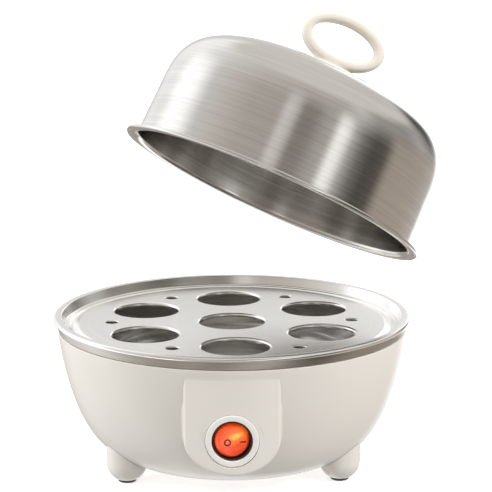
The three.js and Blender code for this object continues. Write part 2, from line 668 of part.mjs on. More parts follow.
function eggTray() {
  const t = 0.7;
  const top = [
    [0, TRAY_PLATE],
    [77.4, TRAY_PLATE],
    [80.4, TRAY_GROOVE],
    [81.4, TRAY_GROOVE],
    [82.4, TRAY_LEDGE],
    [84.8, TRAY_LEDGE],
    [85.6, TRAY_LEDGE + 0.8],
    [86.3, RIM_TOP],
  ];
  const roll = arc(RIM_RADIUS - 1.1, RIM_TOP - 1.1, 1.1, 1.1, 90, -110, 4);
  const under = [
    [RIM_RADIUS - 1.6, RIM_TOP - t - 0.1],
    [86.9, RIM_TOP - t - 0.1],
    [86.3, TRAY_LEDGE + 0.4],
    [85.4, TRAY_LEDGE - t],
    [82.2, TRAY_LEDGE - t],
    [81.3, TRAY_GROOVE - t],
    [80.2, TRAY_GROOVE - t],
    [77.2, TRAY_PLATE - t],
    [0, TRAY_PLATE - t],
  ];
  const seats = [[0, 0], ...[0, 1, 2, 3, 4, 5].map((k) => aroundZ(EGG_CIRCLE, -90 + TRAY_TURN + 60 * k))];
  const steamHoles = [0, 1, 2, 3, 4, 5].map((k) => aroundZ(STEAM_CIRCLE, -60 + TRAY_TURN + 60 * k));
  return cut(
    turned([...top, ...roll, ...under]),
    ...seats.map(([x, y]) => disc(EGG_SEAT_RADIUS, TRAY_PLATE - 3, TRAY_PLATE + 1, 18, move(x, y, 0))),
    ...steamHoles.map(([x, y]) => disc(STEAM_RADIUS, TRAY_PLATE - 2, TRAY_PLATE + 1, 10, move(x, y, 0))),
  );
}

piece('egg_tray', eggTray(), STEEL_POLISHED);

// ---------------------------------------------------------------- lid, built shut with its flange at z = 0

function domeOutline(radius, height, power, from, steps) {
  return Array.from({ length: steps + 1 }, (_, i) => {
    const angle = radians((90 * i) / steps);
    const across = Math.cos(angle) ** (2 / power);
    const up = Math.sin(angle) ** (2 / power);
    return [i === steps ? 0 : radius * across, from + (height - from) * up];
  });
}

const VENT_RADIUS = 1.6;
const VENT_CIRCLE = 32;
const HANDLE_SCREW_RADIUS = 2;

function lidDome() {
  const lip = 1.1;
  const outer = [
    [LID_RADIUS - lip, 0],
    ...arc(LID_RADIUS - 0.9, 0.9, 0.9, 0.9, -60, 120, 3),
    [LID_RADIUS - 2.2, SHEET],
    [LID_WALL_RADIUS + 2.6, SHEET],
    [LID_WALL_RADIUS + 0.7, 1.6],
    [LID_WALL_RADIUS, 3.6],
    ...domeOutline(LID_WALL_RADIUS - 0.6, LID_HEIGHT, LID_DOME_POWER, LID_WALL_HEIGHT, 7),
  ];
  const inner = [
    ...domeOutline(LID_WALL_RADIUS - 0.6 - SHEET, LID_HEIGHT - SHEET, LID_DOME_POWER, LID_WALL_HEIGHT, 7).reverse(),
    [LID_WALL_RADIUS - SHEET, 3.2],
    [LID_WALL_RADIUS, 1],
    [LID_WALL_RADIUS + 1.6, 0],
  ];
  const shell = turned([...inner, ...outer]);
  return cut(
    shell,
    disc(HANDLE_SCREW_RADIUS + GAP, LID_HEIGHT - 3, LID_HEIGHT + 2, 12),
    disc(VENT_RADIUS, LID_HEIGHT - 12, LID_HEIGHT + 2, 10, move(0, VENT_CIRCLE, 0)),
  );
}

piece('lid_dome', lidDome(), STEEL_BRUSHED, lidGroup);

const GASKET_TOP = LID_HEIGHT + GAP + 0.8;
const HANDLE_FOOT = GASKET_TOP + GAP;
const LOOP_HALF_WIDTH = 22.5;
const LOOP_HALF_HEIGHT = 13.8;
const LOOP_BAR = 5.5;
const LOOP_DEPTH = 9;
const LOOP_CENTRE = HANDLE_FOOT + 18.8;
const LOOP_SHIFT = 2.1; // the loop stands this far off the foot's middle
const HANDLE_HALF_FOOT = 12.2;
const HANDLE_HALF_NECK = 9.6;
const NECK_HEIGHT = 7;

piece('lid_handle_gasket', ring(HANDLE_SCREW_RADIUS + GAP, 9, LID_HEIGHT + GAP, GASKET_TOP, FINE), SILICONE, lidGroup);

function lidHandle() {
  const bevel = 1.8;
  const oval = (dx) => arc(0, 0, LOOP_HALF_WIDTH - dx, LOOP_HALF_HEIGHT - dx, 0, 360, 24).slice(0, -1)
    .map(([x, y]) => new THREE.Vector2(x, y));
  const outline = new THREE.Shape(oval(bevel));
  outline.holes.push(new THREE.Path(oval(LOOP_BAR - bevel)));
  const loopGeometry = new THREE.ExtrudeGeometry(outline, {
    depth: LOOP_DEPTH - 2 * bevel,
    bevelThickness: bevel,
    bevelSize: bevel,
    bevelSegments: 2,
  });
  const loop = placed(loopGeometry, move(0, 0, -LOOP_DEPTH / 2 + bevel), turnX(90), move(LOOP_SHIFT, 0, LOOP_CENTRE));
  const foot = turned([
    [0, HANDLE_FOOT],
    [HANDLE_HALF_FOOT, HANDLE_FOOT],
    [HANDLE_HALF_FOOT - 0.6, HANDLE_FOOT + 1.2],
    [HANDLE_HALF_NECK, HANDLE_FOOT + 3.6],
    [HANDLE_HALF_NECK + 0.6, HANDLE_FOOT + 5.2],
    [HANDLE_HALF_NECK + 2, NECK_HEIGHT + HANDLE_FOOT],
    [0, NECK_HEIGHT + HANDLE_FOOT],
  ], FINE, new THREE.Matrix4().makeScale(1, 0.62, 1));
  const bore = disc(1.7, HANDLE_FOOT - 1, HANDLE_FOOT + 4.5, 12);
  return cut(union(loop, foot), bore);
}

piece('lid_handle', lidHandle(), CREAM, lidGroup);

const WASHER_TOP = LID_HEIGHT - SHEET - GAP - 0.1;
piece('lid_handle_washer', ring(HANDLE_SCREW_RADIUS + GAP, 7, WASHER_TOP - 1, WASHER_TOP, FINE), ZINC, lidGroup);
piece('lid_handle_screw', screwUp(3.6, 2, 8.6, move(0, 0, WASHER_TOP - 1 - GAP - 2)), ZINC, lidGroup);

// Shut lid, then lifted and tilted about the lifting line.
lidGroup.matrixAutoUpdate = false;
lidGroup.matrix
  .multiply(move(LIFT_PIVOT.x, LIFT_PIVOT.y, LIFT_PIVOT.z))
  .multiply(new THREE.Matrix4().makeRotationAxis(LIFT_AXIS, radians(LIFT_ANGLE)))
  .multiply(move(-LIFT_PIVOT.x, -LIFT_PIVOT.y, -LIFT_PIVOT.z))
  .multiply(move(0, 0, LID_CLOSED_LEVEL));
lidGroup.matrix.decompose(lidGroup.position, lidGroup.quaternion, lidGroup.scale);
lidGroup.matrixAutoUpdate = true;

export default eggCooker;
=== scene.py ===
"""Looks of the egg cooker: smooth pieces round the CAD model, their materials, the studio, the camera.

Lengths in the shape code are millimetres in the CAD frame; they become metres when a mesh is made.
"""

import json
import math

import bmesh
import bpy
import numpy as np
from mathutils import Matrix, Vector


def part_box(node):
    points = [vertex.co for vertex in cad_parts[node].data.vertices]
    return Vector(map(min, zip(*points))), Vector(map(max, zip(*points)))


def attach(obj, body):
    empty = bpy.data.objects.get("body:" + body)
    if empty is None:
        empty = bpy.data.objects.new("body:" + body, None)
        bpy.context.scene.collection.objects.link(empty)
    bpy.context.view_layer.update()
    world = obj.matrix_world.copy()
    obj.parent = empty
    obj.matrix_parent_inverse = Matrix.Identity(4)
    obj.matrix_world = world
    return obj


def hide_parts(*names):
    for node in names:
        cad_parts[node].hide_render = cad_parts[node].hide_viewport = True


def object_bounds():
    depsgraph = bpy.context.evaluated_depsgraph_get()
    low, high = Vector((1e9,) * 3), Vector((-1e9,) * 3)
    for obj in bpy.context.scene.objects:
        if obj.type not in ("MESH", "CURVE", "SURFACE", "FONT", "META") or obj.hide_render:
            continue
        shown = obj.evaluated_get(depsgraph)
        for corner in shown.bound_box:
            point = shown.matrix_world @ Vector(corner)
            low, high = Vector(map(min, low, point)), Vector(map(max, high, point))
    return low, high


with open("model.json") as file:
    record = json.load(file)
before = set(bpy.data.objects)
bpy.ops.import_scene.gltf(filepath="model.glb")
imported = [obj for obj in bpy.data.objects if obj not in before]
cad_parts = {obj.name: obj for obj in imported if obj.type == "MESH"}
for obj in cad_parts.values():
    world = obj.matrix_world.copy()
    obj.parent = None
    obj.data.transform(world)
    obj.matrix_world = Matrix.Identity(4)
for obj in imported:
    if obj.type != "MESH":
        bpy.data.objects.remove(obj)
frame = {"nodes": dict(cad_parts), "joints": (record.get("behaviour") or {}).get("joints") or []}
CAD_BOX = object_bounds()
MM = 0.001


# ------------------------------------------------------------------ dimensions, most of them the CAD's own
def top_of(node):
    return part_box(node)[1].z / MM


def floor_of(node):
    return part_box(node)[0].z / MM


GAP = 0.3
RIM_TOP = top_of("egg_tray")
RIM_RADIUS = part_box("egg_tray")[1].x / MM
BOWL_RADIUS = 88.3
BOWL_TOP = 66.8
BOWL_WALL = 2.4
SIDE_POWER = 6.6
FLOOR_POWER = 1.25
FOOT_CIRCLE = 62
FOOT_RADIUS = 10.2
FOOT_SHOULDER = 4.9
FLOOR_LEVEL = CAD_BOX[0].z / MM
PAD_RADIUS = 4.6
PAD_THICKNESS = 1.4
FOOT_ANGLES = {"front_right": -30, "rear": 90, "front_left": 212.5}
COVER_RADIUS = 44.2
COVER_THICKNESS = 2.3
COVER_SCREWS = {"cover_screw_1": 30, "cover_screw_2": 150, "cover_screw_3": 270}
COVER_SCREW_CIRCLE = 40.4
BOSS_HALF = 22.7
BOSS_DROP = 16.7
BOSS_TOP_RADIUS = 87.6
BOSS_TAPER = 0.063
SWITCH_HEIGHT = 32.9
BEZEL_RADIUS = 12.4
BEZEL_FACE = -89.3
POCKET_FLOOR = -87.3
SWITCH_RADIUS = 9.3
ROCKER_RADIUS = 8.25
ROCKER_PIVOT = -87.2
ROCKER_TILT = 11
CORD_HEIGHT = 30
CORD_BOSS_RADIUS = 11
CORD_BOSS_FACE = 85.5
PAN_FLOOR = floor_of("heating_pan")
PAN_FLOOR_RADIUS = 52
SHELF_TOP = BOWL_TOP - 4.2
SHELF_UNDERSIDE = BOWL_TOP - 6
SHELF_INSIDE = 79.5
LEDGE_RADIUS = 86
PAN_SHEET = 0.8
PLATE = RIM_TOP - 4.6
EGG_CIRCLE = 50.5
SEAT_RADIUS = 16.5
STEAM_CIRCLE = 61
STEAM_RADIUS = 3.2
TRAY_TURN = 2
# The lid's flange and wall are 0.3 mm inside the CAD's, to stay in the box of the faceted lid.
LID_RADIUS = 79.7
LID_WALL = 74.3
LID_WALL_HEIGHT = 24
LID_HEIGHT = 66.6
LID_POWER = 3.6
LID_SHEET = 0.8
LID_CLOSED = 68.7
LOOP_HALF_WIDTH = 22.5
LOOP_HALF_HEIGHT = 13.8
LOOP_HALF_DEPTH = 4.5
LOOP_BAR = 5.5
LOOP_RISE = 18.8
LOOP_SHIFT = 2.1
LOOP_SQUARENESS = 2.7
MAP_SCALE = 4

lift = next(j for j in frame["joints"] if j["name"] == "lid_lift")
at_pivot = Matrix.Translation(lift["pos_m"])
lifted = Matrix.Rotation(math.radians(-lift["range_deg"][0]), 4, Vector(lift["axis"]))
LID_PLACE = at_pivot @ lifted @ at_pivot.inverted() @ Matrix.Translation((0, 0, LID_CLOSED * MM))


# ------------------------------------------------------------------ shape helpers
def make_object(name, points, faces, sharp=32):
    """A smooth-shaded mesh object from points in millimetres, its edges sharp above that angle."""
    mesh = bpy.data.meshes.new(name)
    mesh.from_pydata((np.asarray(points, float) * MM).tolist(), [], faces)
    obj = bpy.data.objects.new(name, mesh)
    bpy.context.scene.collection.objects.link(obj)
    tidy_mesh(obj, sharp)
    return obj


def tidy_mesh(obj, sharp=32):
    """Faces pointing out, smooth shading, sharp edges only where the surface really turns."""
    bm = bmesh.new()
    bm.from_mesh(obj.data)
    bmesh.ops.recalc_face_normals(bm, faces=bm.faces)
    bm.to_mesh(obj.data)
    bm.free()
    obj.data.shade_smooth()
    obj.data.set_sharp_from_angle(angle=math.radians(sharp))


def loft(name, rows, wrap=False, start=None, end=None, sharp=32):
    """A skin through closed rows of points. The ends close with a point, or a flat face without one."""
    count, n = len(rows), len(rows[0])
    points = [tuple(p) for row in rows for p in row]
    faces = []
    for j in range(count if wrap else count - 1):
        a, b = j * n, (j + 1) % count * n
        faces += [(a + i, a + (i + 1) % n, b + (i + 1) % n, b + i) for i in range(n)]
    if not wrap:
        for first, tip in ((0, start), ((count - 1) * n, end)):
            if tip is None:
                faces.append(tuple(range(first, first + n)))
            else:
                faces += [(len(points), first + i, first + (i + 1) % n) for i in range(n)]
                points.append(tuple(tip))
    return make_object(name, points, faces, sharp)


def lathe(name, profile, columns=160, place=None, sharp=32):
    """A profile of (radius, height) turned about Z: a ring, or a solid if both its ends are on the axis."""
    place = np.eye(4) if place is None else np.array(place, float)
    angles = np.arange(columns) * 2 * math.pi / columns

    def put(points):
        return np.asarray(points, float) @ place[:3, :3].T + place[:3, 3]

    def circle(r, z):
        return put(np.stack([r * np.cos(angles), r * np.sin(angles), np.full(columns, z)], 1))

    solid = profile[0][0] < 1e-6 and profile[-1][0] < 1e-6
    rows = [circle(r, z) for r, z in profile if r >= 1e-6]
    if not solid:
        return loft(name, rows, wrap=True, sharp=sharp)
    tips = [put([(0, 0, profile[k][1])])[0] for k in (0, -1)]
    return loft(name, rows, start=tips[0], end=tips[1], sharp=sharp)


def fillet(points, radius, steps=5, closed=True):
    """The line with its corners rounded. radius is one number, or one for each corner."""
    radii = radius if hasattr(radius, "__len__") else [radius] * len(points)
    out = []
    for i, r in enumerate(radii):
        here = np.array(points[i], float)
        if r == 0 or (not closed and i in (0, len(points) - 1)):
            out.append(tuple(here))
            continue
        u = np.array(points[i - 1], float) - here
        v = np.array(points[(i + 1) % len(points)], float) - here
        lu, lv = np.linalg.norm(u), np.linalg.norm(v)
        u, v = u / lu, v / lv
        half = math.acos(np.clip(u @ v, -1, 1)) / 2
        if half > math.radians(87):
            out.append(tuple(here))
            continue
        reach = min(r / math.tan(half), 0.48 * lu, 0.48 * lv)
        fit = reach * math.tan(half)
        centre = here + (u + v) / np.linalg.norm(u + v) * fit / math.sin(half)
        first, last = here + u * reach - centre, here + v * reach - centre
        a0 = math.atan2(first[1], first[0])
        sweep = (math.atan2(last[1], last[0]) - a0 + math.pi) % (2 * math.pi) - math.pi
        turn = [a0 + sweep * k / steps for k in range(steps + 1)]
        out += [(centre[0] + fit * math.cos(a), centre[1] + fit * math.sin(a)) for a in turn]
    return out


def arc(cx, cy, rx, ry, start, end, steps):
    """Points of an arc, angles in degrees."""
    turn = [math.radians(start + (end - start) * k / steps) for k in range(steps + 1)]
    return [(cx + rx * math.cos(a), cy + ry * math.sin(a)) for a in turn]


def offset_line(points, distance):
    """The line moved sideways by distance, to its left."""
    p = np.array(points, float)
    along = np.gradient(p, axis=0)
    along /= np.linalg.norm(along, axis=1)[:, None]
    return [tuple(q) for q in p + distance * np.stack([-along[:, 1], along[:, 0]], 1)]


def move(x, y, z):
    return Matrix.Translation((x, y, z))


def turn(degrees, axis):
    return Matrix.Rotation(math.radians(degrees), 4, axis)


def round_z(radius, degrees):
    return radius * math.cos(math.radians(degrees)), radius * math.sin(math.radians(degrees))


def front_axis(x, z):
    """Places a lathe so that its height runs towards the front, from the middle plane."""
    return move(x, 0, z) @ turn(90, "X")


def disc(name, radius, low, high, columns=64, place=None):
    return lathe(name, [(0, low), (radius, low), (radius, high), (0, high)], columns, place)


def bake(obj, sharp=32):
    """Turns the object's modifiers into its mesh."""
    bpy.context.view_layer.update()
    graph = bpy.context.evaluated_depsgraph_get()
    old, obj.data = obj.data, bpy.data.meshes.new_from_object(obj.evaluated_get(graph))
    obj.modifiers.clear()
    bpy.data.meshes.remove(old)
    tidy_mesh(obj, sharp)


def carve(obj, steps, sharp=32):
    """Joins or cuts the object with tools, in order, then removes the tools."""
    for operation, tool in steps:
        modifier = obj.modifiers.new("carve", "BOOLEAN")
        modifier.operation = operation
        modifier.object = tool
        modifier.solver = "MANIFOLD"
    bake(obj, sharp)
    for tool in {tool for _, tool in steps}:
        bpy.data.objects.remove(tool)


def keep_own_place(mesh):
    """Stores each point's place before the mesh is placed, and a map whose U runs round the mesh's axis."""
    own = np.empty(len(mesh.vertices) * 3, np.float32)
    mesh.vertices.foreach_get("co", own)
    mesh.attributes.new("own_place", "FLOAT_VECTOR", "POINT").data.foreach_set("vector", own)
    own = own.reshape(-1, 3)
    corners = np.empty(len(mesh.loops), np.int32)
    mesh.loops.foreach_get("vertex_index", corners)
    face_of_corner = np.repeat(np.arange(len(mesh.polygons)), [len(f.vertices) for f in mesh.polygons])
    centres = np.array([f.center[:] for f in mesh.polygons])
    middle = np.arctan2(centres[:, 1], centres[:, 0])[face_of_corner]
    x, y, z = own[corners].T
    apart = (np.arctan2(y, x) - middle + math.pi) % (2 * math.pi) - math.pi
    across = (z - np.hypot(x, y)) * MAP_SCALE
    round_axis = np.stack([(middle + apart) / (2 * math.pi), across], 1)
    mesh.uv_layers.new(name="round_axis").data.foreach_set("uv", round_axis.astype(np.float32).ravel())


def finish_piece(obj, body, look, replaces=(), place=None):
    """Gives a piece its material and its body, and hides the CAD nodes it stands for."""
    if place is not None:
        keep_own_place(obj.data)
        obj.data.transform(place)
    obj.data.materials.clear()
    obj.data.materials.append(look)
    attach(obj, body)
    if replaces:
        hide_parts(*([replaces] if isinstance(replaces, str) else replaces))
    return obj


# ------------------------------------------------------------------ material helpers
class Look:
    """A node material while it is being built."""

    def __init__(self, name, placed=False, **sockets):
        self.material = bpy.data.materials.new(name)
        self.material.use_nodes = True
        self.tree = self.material.node_tree
        self.shader = self.tree.nodes["Principled BSDF"]
        for key, value in sockets.items():
            self.feed(self.shader, key.replace("_", " "), value)
        if placed:
            self.coords = self.add("Attribute", attribute_name="own_place").outputs["Vector"]
        else:
            self.coords = self.add("TexCoord").outputs["Object"]

    def feed(self, node, key, value):
        socket = node.inputs[key]
        if isinstance(value, bpy.types.Node):
            self.tree.links.new(value.outputs[0], socket)
        elif isinstance(value, bpy.types.NodeSocket):
            self.tree.links.new(value, socket)
        else:
            socket.default_value = value

    def add(self, kind, inputs=(), **settings):
        node = self.tree.nodes.new("ShaderNode" + kind)
        for key, value in settings.items():
            setattr(node, key, value)
        for key, value in dict(inputs).items():
            self.feed(node, key, value)
        return node

    def math(self, operation, a, b=0.0, c=0.0):
        return self.add("Math", {0: a, 1: b, 2: c}, operation=operation)

    def noise(self, scale, detail=2.0, coords=None, roughness=0.5):
        inputs = {"Vector": coords or self.coords, "Scale": scale, "Detail": detail, "Roughness": roughness}
        return self.add("TexNoise", inputs).outputs["Fac"]

    def ramp(self, value, *stops, ease="LINEAR"):
        node = self.add("ValToRGB", {"Fac": value})
        node.color_ramp.interpolation = ease
        items = node.color_ramp.elements
        while len(items) < len(stops):
            items.new(0.5)
        for item, (place, colour) in zip(items, stops):
            item.position = place
            item.color = (*colour, 1) if hasattr(colour, "__len__") else (colour, colour, colour, 1)
        return node.outputs["Color"]

    def span(self, value, low, high, start=0.0, end=1.0):
        inputs = {"Value": value, "From Min": start, "From Max": end, "To Min": low, "To Max": high}
        return self.add("MapRange", inputs).outputs["Result"]

    def mix(self, share, a, b, blend="MIX"):
        node = self.add("Mix", data_type="RGBA", blend_type=blend)
        for key, value in ((0, share), (6, a), (7, b)):
            self.feed(node, key, value)
        return node.outputs[2]

    def bump(self, height, strength, distance, under=None):
        inputs = {"Height": height, "Strength": strength, "Distance": distance}
        if under is not None:
            inputs["Normal"] = under
        return self.add("Bump", inputs).outputs["Normal"]

    def ring_coords(self, around, across):
        """Coordinates that change slowly round Z and fast up and out, so that noise draws fine rings."""
        parts = self.add("SeparateXYZ", {"Vector": self.coords})
        x, y, z = parts.outputs
        out = self.math("SQRT", self.math("ADD", self.math("MULTIPLY", x, x), self.math("MULTIPLY", y, y)))
        level = self.math("MULTIPLY", self.math("ADD", out, self.math("MULTIPLY", z, 1.31)), across)
        sides = [self.math("MULTIPLY", part, around) for part in (x, y)]
        return self.add("CombineXYZ", {"X": sides[0], "Y": sides[1], "Z": level}).outputs[0]


def grey(value, warm=0.0):
    return (value * (1 + warm), value, value * (1 - warm))


def plastic(name, colour, roughness, grain, coat=0.2):
    """Moulded plastic: faint clouding in the colour, a fine pebbled skin and flow marks in the gloss."""
    look = Look(name, IOR=1.49, Coat_Weight=coat, Coat_Roughness=0.16)
    cloud = look.noise(14, 3)
    fine = look.noise(1500, 2)
    dark = tuple(c * 0.965 for c in colour)
    look.feed(look.shader, "Base Color", look.mix(look.span(cloud, 0, 1, 0.3, 0.7), (*colour, 1), (*dark, 1)))
    wear = look.mix(0.6, look.noise(60, 4), fine)
    look.feed(look.shader, "Roughness", look.span(wear, roughness * 0.86, roughness * 1.16, 0.3, 0.7))
    wave = look.bump(look.noise(45, 1), 0.25, 0.0002)
    look.feed(look.shader, "Normal", look.bump(fine, grain, 0.00003, wave))
    return look.material


def brushed(name, colour, roughness, anisotropy, depth=0.5, streak=0.1, placed=False):
    """Steel brushed round Z: rings of fine scratches that spread reflections up and down the surface."""
    look = Look(name, placed, Metallic=1.0, Anisotropic=anisotropy, Anisotropic_Rotation=0.25)
    fine = look.noise(1, 3, look.ring_coords(18, 3400), 0.7)
    broad = look.noise(1, 2, look.ring_coords(9, 620), 0.6)
    cloud = look.noise(22, 2)
    both = look.mix(0.45, fine, broad)
    low = tuple(c * (1 - streak) for c in colour)
    high = tuple(min(1, c * (1 + streak * 0.6)) for c in colour)
    look.feed(look.shader, "Base Color", look.mix(look.span(both, 0, 1, 0.32, 0.68), (*low, 1), (*high, 1)))
    rough = look.mix(0.3, both, cloud)
    look.feed(look.shader, "Roughness", look.span(rough, roughness * 0.8, roughness * 1.25, 0.3, 0.7))
    if placed:
        tangent = look.add("Tangent", direction_type="UV_MAP", uv_map="round_axis")
    else:
        tangent = look.add("Tangent", direction_type="RADIAL", axis="Z")
    look.feed(look.shader, "Tangent", tangent)
    look.feed(look.shader, "Normal", look.bump(both, depth, 0.00002))
    return look.material


def metal(name, colour, roughness, scale, spots=0.12):
    """Plated or cast metal: cloudy colour, patchy gloss and a light grain."""
    look = Look(name, Metallic=1.0)
    cloud = look.noise(scale, 4)
    fine = look.noise(scale * 9, 3)
    low = tuple(c * (1 - spots) for c in colour)
    look.feed(look.shader, "Base Color", look.mix(look.span(cloud, 0, 1, 0.3, 0.7), (*low, 1), (*colour, 1)))
    wear = look.mix(0.5, cloud, fine)
    look.feed(look.shader, "Roughness", look.span(wear, roughness * 0.7, roughness * 1.3, 0.3, 0.7))
    look.feed(look.shader, "Normal", look.bump(fine, 0.35, 0.00004))
    return look.material


def soft(name, colour, roughness, scale, depth=0.5, spots=0.15):
    """Rubber, silicone, ceramic or a lead's sleeve: matt, with a mottled grain."""
    look = Look(name, IOR=1.45)
    cloud = look.noise(scale, 4)
    fine = look.noise(scale * 8, 2)
    low = tuple(c * (1 - spots) for c in colour)
    look.feed(look.shader, "Base Color", look.mix(look.span(cloud, 0, 1, 0.3, 0.7), (*low, 1), (*colour, 1)))
    look.feed(look.shader, "Roughness", look.span(fine, roughness * 0.85, roughness * 1.1, 0.3, 0.7))
    look.feed(look.shader, "Normal", look.bump(fine, depth, 0.00005))
    return look.material


def amber_rocker():
    """Tinted plastic lit from behind: a yellow hot spot above the middle falls to deep orange and red."""
    gloss = {"Roughness": 0.16, "Coat_Weight": 0.5, "Coat_Roughness": 0.05}
    look = Look("amber_lit", True, IOR=1.5, **gloss, Emission_Strength=0.8)
    centre = (0.0012, 0, (SWITCH_HEIGHT + 2.5) * MM)
    near = look.add("VectorMath", {0: look.coords, 1: centre}, operation="SUBTRACT")
    turned = look.add("Mapping", {"Vector": near, "Rotation": (0, math.radians(24), 0)}, vector_type="POINT")
    parts = look.add("SeparateXYZ", {"Vector": turned})
    across = look.math("MULTIPLY", parts.outputs["X"], 1 / 0.004)
    up = look.math("MULTIPLY", parts.outputs["Z"], 1 / 0.0022)
    squares = [look.math("MULTIPLY", part, part) for part in (across, up)]
    far = look.math("SQRT", look.math("ADD", *squares))
    ragged = look.math("ADD", far, look.span(look.noise(520, 3), -0.35, 0.35, 0.3, 0.7))
    glow = look.ramp(
        look.math("MULTIPLY", ragged, 0.25),
        (0.0, (1.0, 0.72, 0.1)),
        (0.12, (1.0, 0.5, 0.03)),
        (0.24, (0.85, 0.13, 0.004)),
        (0.55, (0.5, 0.035, 0.001)),
        (1.0, (0.18, 0.006, 0.0)),
        ease="EASE",
    )
    look.feed(look.shader, "Emission Color", glow)
    cloud = look.noise(400, 3)
    tinted = look.mix(look.span(cloud, 0, 1, 0.3, 0.7), (0.5, 0.035, 0.003, 1), (0.68, 0.065, 0.005, 1))
    look.feed(look.shader, "Base Color", tinted)
    look.feed(look.shader, "Normal", look.bump(look.noise(900, 2), 0.2, 0.00004))
    return look.material


CREAM = plastic("cream_plastic_moulded", (0.7, 0.66, 0.6), 0.36, 0.35)
BEZEL_CREAM = plastic("cream_plastic_bezel", (0.79, 0.765, 0.72), 0.3, 0.2)
HANDLE_CREAM = plastic("cream_plastic_handle", (0.76, 0.705, 0.62), 0.34, 0.3)
COVER_CREAM = plastic("cover_plastic_textured", (0.74, 0.69, 0.62), 0.55, 0.9, 0)
BLACK = plastic("black_plastic_moulded", (0.018, 0.014, 0.012), 0.4, 0.5)
MARK = plastic("rocker_mark_ink", (0.085, 0.003, 0.001), 0.4, 0.3)
LID_STEEL = brushed("lid_steel_brushed", (0.66, 0.645, 0.62), 0.15, 0.6, 0.8, 0.16, placed=True)
RIM_STEEL = brushed("rim_steel_brushed", (0.50, 0.47, 0.43), 0.36, 0.6)
TRAY_STEEL = brushed("tray_steel_polished", (0.86, 0.845, 0.82), 0.2, 0.5, 0.3, 0.05)
PAN_STEEL = brushed("pan_steel_spun", (0.72, 0.71, 0.69), 0.24, 0.55, 0.4, 0.07)
ZINC = metal("zinc_plate", (0.55, 0.57, 0.58), 0.36, 160)
SCREW = metal("screw_plate", (0.62, 0.62, 0.6), 0.28, 260)
ALUMINIUM = metal("aluminium_cast", (0.68, 0.69, 0.7), 0.5, 220, 0.2)
ELEMENT = metal("element_heat_tinted", (0.5, 0.43, 0.36), 0.45, 90, 0.35)
BRASS = metal("brass_contact", (0.75, 0.55, 0.22), 0.35, 240)
RUBBER = soft("pad_rubber_dark", (0.085, 0.08, 0.075), 0.8, 700)
SILICONE = soft("silicone_pale", (0.62, 0.6, 0.57), 0.55, 300, 0.2, 0.05)
CERAMIC = soft("ceramic_pale", (0.74, 0.72, 0.67), 0.6, 240)
LAMP = soft("lamp_glass_amber", (0.95, 0.55, 0.2), 0.15, 500, 0.1)
LEADS = {
    "red": soft("lead_sleeve_red", (0.42, 0.05, 0.03), 0.5, 420),
    "blue": soft("lead_sleeve_blue", (0.04, 0.1, 0.32), 0.5, 420),
    "green": soft("lead_sleeve_green", (0.1, 0.25, 0.06), 0.5, 420),
}


# ------------------------------------------------------------------ bowl housing
def bowl_radius(z, inset=0.0):
    """The bowl's outside radius at a height."""
    share = np.clip((BOWL_TOP - np.asarray(z, float)) / (BOWL_TOP - inset), 0, 1)
    sine = share ** (FLOOR_POWER / 2)
    return (BOWL_RADIUS - inset) * (1 - np.minimum(sine, 0.99999) ** 2) ** (1 / SIDE_POWER)


def bowl_line(inset, steps, low=0.0, top=BOWL_TOP):
    """The bowl's outline from its upper edge down to a lowest height."""
    depth = BOWL_TOP - inset
    first = math.asin(((BOWL_TOP - top) / depth) ** (FLOOR_POWER / 2))
    last = math.asin(min(1, ((BOWL_TOP - low) / depth) ** (FLOOR_POWER / 2)))
    angles = [first + (last - first) * k / steps for k in range(steps + 1)]
    line = []
    for angle in angles:
        r = (BOWL_RADIUS - inset) * max(math.cos(angle), 0) ** (2 / SIDE_POWER)
        line.append((r, BOWL_TOP - depth * math.sin(angle) ** (2 / FLOOR_POWER)))
    return line


def bowl_solid(name, inset, top, columns=160):
    """The bowl's whole body as a tool for cutting."""
    line = bowl_line(inset, 60, inset + 0.02, min(top, BOWL_TOP - 0.01))
    return lathe(name, [(0, top), *line, (0, inset + 0.02)], columns)


def boss_radius(z, inset=0.0):
    return BOSS_TOP_RADIUS - inset + (BOWL_TOP - 2 - z) * BOSS_TAPER


def u_outline(inset, top):
    """The U of the switch boss seen from the front: across the top, down the side and round the bottom."""
    half, drop = BOSS_HALF - inset, BOSS_DROP - inset
    across = [(half - 2 * half * k / 24, top) for k in range(24)]
    down = [(-half, top + (SWITCH_HEIGHT - top) * k / 20) for k in range(20)]
    bottom = arc(0, SWITCH_HEIGHT, half, drop, 180, 360, 64)[:-1]
    up = [(half, SWITCH_HEIGHT + (top - SWITCH_HEIGHT) * k / 20) for k in range(20)]
    return np.array(across + down + bottom + up)


def boss_face(points, inset=0.0):
    x, z = points[:, 0], points[:, 1]
    return -np.sqrt(boss_radius(z, inset) ** 2 - x**2)


def u_row(points, y):
    return np.stack([points[:, 0], np.broadcast_to(y, len(points)), points[:, 1]], 1)


